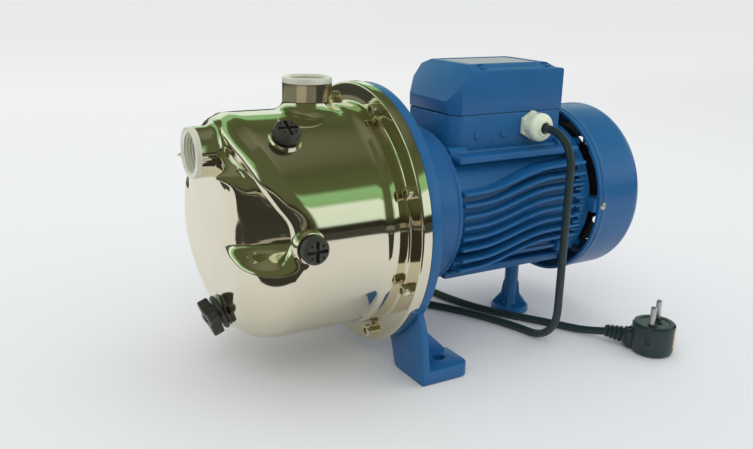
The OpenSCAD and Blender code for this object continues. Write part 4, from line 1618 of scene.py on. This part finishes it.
@dataclass
class MotorHousing:
    """The motor's finned housing, its rear shield, foot and fan cover."""

    radius: float = 62.0
    front: float = low_side("motor_housing", X)
    rear: float = high_side("motor_housing", X)
    fin_y: float = high_side("motor_housing", Y)
    fin_corner_r: float = 74.0
    fin_t: float = 2.8
    fin_lines: Sequence[float] = (-44, -34.5, -25, -15.5, -6, 3.5, 13, 22.5)
    foot_x: float = middle_of("motor_foot", X)
    cover_r: float = high_side("fan_cover", Y)
    cover_front: float = low_side("fan_cover", X)
    cover_rear: float = high_side("fan_cover", X)

    def wave(self, t: float) -> float:
        """How far a fin has risen at a share of its length."""
        return 13 * (0.5 - 0.5 * math.cos(math.pi * min(max((t - 0.12) / 0.6, 0), 1))) + 3 * t

    def fin(self, height: float) -> Form:
        """One wavy fin, right through the housing.

        Args:
            height: how far above the shaft it starts.

        Returns:
            The solid.
        """
        steps = 26
        start, stop = self.front + 1.5, self.rear - 4
        reach = min(self.fin_y, math.sqrt(self.fin_corner_r ** 2 - (height + 8) ** 2))
        line = [(start + (stop - start) * i / steps, height + self.wave(i / steps))
                for i in range(steps + 1)]
        half = self.fin_t / 2
        outline = [(x, h + half) for x, h in line] + [(x, h - half) for x, h in line[::-1]]
        upright = place((0, reach, AXIS_H), (90, 0, 0))
        return Form().slab(outline, 0, 2 * reach, upright).eased(
            0.95, 3, 60, lambda spot: abs(spot.y) > reach - 1)

    def tie_places(self, x: float) -> list[Matrix]:
        """Where the four tie bolts run."""
        return [on_shaft(x, a) @ place((-65.1, 0, 0)) for a in (38, 128, 218, 308)]

    def housing(self) -> None:
        """The extruded body with its ledges and bosses."""
        shell = soft([(56.1, self.front), (64.5, self.front), (64.5, 31), (self.radius, 32.5),
                      (self.radius, 156), (68, 157.2), (68, self.rear), (56.1, self.rear)], 0.8)
        body = Form().turned(shell, on_shaft(), 144)
        bosses = Form()
        for x in (self.front + 0.6, self.rear - 18.6):
            for where in self.tie_places(x):
                bosses.drum(5.6, 0, 18, where, 32, 0.8)
        body.joined(bosses)
        ledges = Form().block((30, -57, AXIS_H + 45.5), (160, 57, AXIS_H + 51.5), None, 1.8, 3)
        ledges.block((30, -43, AXIS_H - 58.5), (160, 43, AXIS_H - 51.5), None, 2.2, 3)
        ledges.block((40, -35.5, AXIS_H + 52.5), (155, 35.5, AXIS_H + 59), None, 1.2)
        body.joined(ledges)
        fins = Form()
        for height in self.fin_lines:
            fins.take(self.fin(height).bm)
        body.joined(fins)
        ribs = Form()
        for i in range(-6, 5):
            for side in (90, 270):
                rib_at = on_shaft(0, side + i * 6.4)
                ribs.block((64, -1.1, 150), (69.8, 1.1, 163), rib_at, 0.6)
        body.joined(ribs)
        body.joined(Form().drum(9.5, 55.1, 66, place((self.foot_x, 0, 0)), 40, 1.0))
        bore = Form().drum(56.05, self.front - 2, self.rear + 2, on_shaft(), 144)
        body.cut(bore)
        body.piece("motor_body", PAINT, nodes=("motor_housing",))

    def shield(self) -> None:
        """The rear bearing shield."""
        plate = soft([(20.1, 155), (26, 155), (26, 163), (68, 164.05), (68, 167), (66, 170),
                      (28, 170), (24, 172), (20.1, 172)], 0.8)
        form = Form().turned(plate, on_shaft(), 128)
        arms = Form()
        for angle in (0, 90, 180, 270):
            arms.block((60, -6, 164.5), (77.2, 6, 178), on_shaft(0, angle), 1.0)
        form.joined(arms)
        form.piece("rear_bearing_shield", PAINT, nodes=("rear_shield",))

    def foot(self) -> None:
        """The motor's foot: a disc and a ribbed pillar."""
        where = place((self.foot_x, 0, 0))
        post = soft([(0, 0.0), (18, 0.0), (18, 5), (17, 6), (7.5, 6.6), (6.5, 9), (6.5, 50),
                     (7.5, 54.9), (3.1, 54.9), (3.1, 20), (0, 20)], 0.8, False)
        form = Form().turned(post, where, 64, closed=False)
        web = soft([(0, 0), (16.8, 0), (16, 2), (9, 11), (7.2, 24), (0, 24)], 0.8, False)
        for angle in (45, 135, 225, 315):
            rib = Form().slab(web, -2, 2, place((self.foot_x, 0, 5.5), (90, 0, angle)))
            form.joined(rib.eased(0.6, 2, 50))
        form.cut(Form().drum(3.05, 20, 60, where, 24))
        form.piece("motor_stand", PAINT, nodes=("motor_foot",))

    def cover(self) -> None:
        """The fan cover with its rows of slots."""
        out, wall, corner = self.cover_r, 1.6, 12.0
        profile = soft([(out - 0.1, self.cover_front), (out + 0.9, self.cover_front + 0.4),
                        (out + 0.9, self.cover_front + 3.0), (out - 0.2, self.cover_front + 3.8),
                        (out - 0.2, self.cover_front + 4.8), (out + 0.7, self.cover_front + 5.6),
                        (out + 0.7, self.cover_front + 7.6), (out, self.cover_front + 8.6),
                        (out, self.cover_front + 12)], 0.5, False)
        profile += arc((out - corner, self.cover_rear - corner), corner, 0, 90, 12)
        profile += [(0, self.cover_rear), (0, self.cover_rear - wall)]
        profile += arc((out - corner, self.cover_rear - corner), corner - wall, 90, 0, 10)
        profile += [(out - wall, self.cover_front)]
        form = Form().turned(profile, on_shaft(), 144)
        slots = Form()
        for row in range(4):
            count = 4 + 2 * row
            inner = 12 + 13 * row
            share = 360 / count
            gap = 150 / (14 + 13 * row)
            for i in range(count):
                ring = [(inner, 0), (inner + 7, 0), (inner + 7, 10), (inner, 10)]
                slots.turned(ring, on_shaft(self.cover_rear - 5) @ place(turn=(0, 0, i * share)),
                             14, sweep=share - gap)
        form.cut(slots)
        form.piece("fan_hood", SHEET_PAINT, nodes=("fan_cover",), sharp=30)

    def cover_screws(self) -> None:
        """Four screws that hold the fan cover."""
        head = soft([(0, 67), (2, 67), (2, self.cover_r), (3.6, self.cover_r + 0.1),
                     (3.5, self.cover_r + 1.2), (2.2, self.cover_r + 1.9),
                     (0, self.cover_r + 1.9)], 0.3, False)
        screw = Form().turned(head, None, 32, closed=False)
        screw.cut(Form().block((-2.4, -0.4, self.cover_r + 1), (2.4, 0.4, self.cover_r + 3)))
        screw.repeated([place((self.cover_front + 5, 0, AXIS_H), (a, 0, 0))
                        for a in (0, 90, 180, 270)])
        screw.piece("hood_screws", PLAIN_STEEL, nodes=("fan_cover_screws",))

    def build(self) -> None:
        """Makes the motor's outer parts."""
        self.housing()
        self.shield()
        self.foot()
        self.cover()
        self.cover_screws()


@dataclass
class TerminalBox:
    """The terminal box on the motor, its lid, label and screws."""

    half: float = high_side("box_lid", Y)
    front: float = low_side("terminal_box", X)
    nose_x: float = low_side("box_lid", X) + 1.0
    rear: float = high_side("box_lid", X)
    split: float = low_side("box_lid", Z) - AXIS_H
    top: float = high_side("box_lid", Z) - AXIS_H
    floor: float = low_side("terminal_box", Z) - AXIS_H
    wall: float = 2.5
    screw_seat: float = 119.8
    screws: Sequence[Pair] = ((66, -31), (136, -31), (66, 31), (136, 31))

    def gland_place(self) -> Matrix:
        """Local +Z runs out of the box's side, through the cord gland."""
        return place((GLAND_X, -self.half, GLAND_H), (90, 0, 0))

    def base(self) -> None:
        """The box's lower half, seated on the housing."""
        low, high = AXIS_H + self.floor, AXIS_H + self.split - 0.5
        side = self.half - 8.6
        outline = soft([(self.nose_x, -side), (self.front, -self.half), (self.rear, -self.half),
                        (self.rear, self.half), (self.front, self.half), (self.nose_x, side)], 3.5,
                       steps=4)
        shell = Form().slab(outline, AXIS_H + 44, high).eased(0.7, 2, 50)
        start, stop, inner = self.front + self.wall, self.rear - self.wall, self.half - self.wall
        room = soft([(start, -inner), (stop, -inner), (stop, inner), (start, inner)], 4)
        shell.cut(Form().slab(room, low + 9, high + 5))
        shell.cut(Form().drum(62.05, self.nose_x - 2, self.rear + 2, on_shaft(), 144))
        shell.cut(Form().drum(8.2, -10, 8, self.gland_place(), 40))
        dome = soft([(0, -1), (3.2, -1), (3.0, 0.9), (1.6, 1.3), (0, 1.3)], 0.4, False)
        for x in (60, 88):
            stud_at = place((x, -self.half, AXIS_H + 64), (90, 0, 0))
            shell.joined(Form().turned(dome, stud_at, 24, closed=False))
        shell.piece("terminal_box_base", PAINT, nodes=("terminal_box",))

    def lid(self) -> None:
        """The lid: a sloping front, chamfered shoulders and a label recess."""
        side = [(self.nose_x, self.split), (self.front - 9.6, self.split + 11.5),
                (self.front + 11.4, self.top), (self.rear - 12, self.top),
                (self.rear - 9, self.top - 4), (self.rear, self.top - 5), (self.rear, self.split)]
        upright = place((0, self.half, AXIS_H), (90, 0, 0))
        form = Form().slab(soft(side, 2.0, steps=3), 0, 2 * self.half, upright)
        slopes = [place((0, s * 27, AXIS_H + self.top), (-s * 25, 0, 0)) for s in (-1, 1)]
        slopes += [place((self.front, s * self.half, 0), (0, -90, s * -45)) for s in (-1, 1)]
        for slope in slopes:
            normal = slope.to_3x3() @ Vector((0, 0, 1))
            bmesh.ops.bisect_plane(form.bm, geom=form.bm.verts[:] + form.bm.edges[:]
                                   + form.bm.faces[:], plane_co=slope.translation,
                                   plane_no=normal, clear_outer=True)
            bmesh.ops.holes_fill(form.bm, edges=form.bm.edges, sides=0)
        bmesh.ops.recalc_face_normals(form.bm, faces=form.bm.faces)
        form.eased(2.2, 4, 18)
        recess = soft([(60, -23), (134, -23), (134, 23), (60, 23)], 1.5)
        form.cut(Form().slab(recess, AXIS_H + self.top - 1, AXIS_H + self.top + 5))
        wells = Form()
        for x, y in self.screws:
            wells.drum(4.3, self.screw_seat, self.screw_seat + 20, place((x, y, AXIS_H)), 32)
        form.cut(wells)
        inner = self.half - self.wall
        form.cut(Form().block((self.front + self.wall, -inner, AXIS_H + self.split - 3),
                              (self.rear - self.wall, inner, AXIS_H + self.split + 26)))
        form.piece("terminal_box_lid", SHEET_PAINT, nodes=("box_lid",), sharp=28)

    def trim(self) -> None:
        """Lid screws and the blank label."""
        seat = self.screw_seat
        head = soft([(0, seat - 8), (2, seat - 8), (2, seat), (3.5, seat), (3.5, seat + 1.2),
                     (2.4, seat + 1.9), (0, seat + 1.9)], 0.35, False)
        screw = Form().turned(head, None, 32, closed=False)
        for turn in (0, 90):
            screw.cut(Form().block((-2.1, -0.4, seat + 0.9), (2.1, 0.4, seat + 3),
                                   place(turn=(0, 0, turn))))
        screw.repeated([place((x, y, AXIS_H), (0, 0, 30)) for x, y in self.screws])
        screw.piece("box_lid_screws", PAINTED_STEEL, nodes=("lid_screws",))
        plate = soft([(61, -22), (133, -22), (133, 22), (61, 22)], 2)
        label = Form().slab(plate, AXIS_H + self.top - 1, AXIS_H + self.top - 0.4).eased(0.2, 1)
        label.piece("blank_label", LABEL, nodes=("label_plate",))

    def gland(self) -> None:
        """The cord gland: a hexagon, a ribbed dome nut and its seat."""
        where = self.gland_place()
        body = Form().drum(13.3, 0, 5, where, 6).eased(0.8, 3, 40)
        stem = [(5.6, -7), (8.1, -7), (8.1, 1), (9.4, 4), (9.4, 13), (5.6, 13)]
        body.joined(Form().turned(stem, where, 48))
        body.cut(Form().drum(5.55, -9, 20, where, 40))
        body.piece("gland_base", GLAND, nodes=("gland_body",))
        dome = [(9.5, 5.6), (11.9, 5.6), (12.4, 6.3), (12.4, 12.6)]
        dome += arc((6.4, 12.8), 6.0, 0, 78, 8) + [(6.9, 20), (5.2, 20), (4.7, 19), (4.7, 15.2),
                                                  (9.5, 15.2)]
        nut = Form().turned(dome, where, 64)
        flats = Form()
        for i in range(6):
            flat_at = where @ place(turn=(0, 0, i * 60 + 30))
            flats.block((11.5, -7, 5), (16, 7, 13.4), flat_at, 0.3)
        nut.cut(flats)
        nut.piece("gland_dome_nut", GLAND, nodes=("gland_nut",))

    def build(self) -> None:
        """Makes the box."""
        self.base()
        self.lid()
        self.trim()
        self.gland()


def carry_over() -> None:
    """Dresses the frame's own parts that stay."""
    for finish, names in CARRIED_OVER.items():
        for name in names:
            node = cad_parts[name]
            node.data.materials.clear()
            node.data.materials.append(finish.material())
            for slot in node.material_slots:
                slot.material = finish.material()


def main() -> None:
    """Builds the scene."""
    logging.basicConfig(level=logging.INFO, format="%(name)s: %(message)s")
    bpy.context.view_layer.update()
    Viewpoint().build()
    MainsLead().build()
    Studio().build()
    Casing().build()
    CasingPlugs().build()
    FlangeScrews().build()
    Bracket().build()
    MotorHousing().build()
    TerminalBox().build()
    carry_over()


if __name__ == "__main__":
    main()
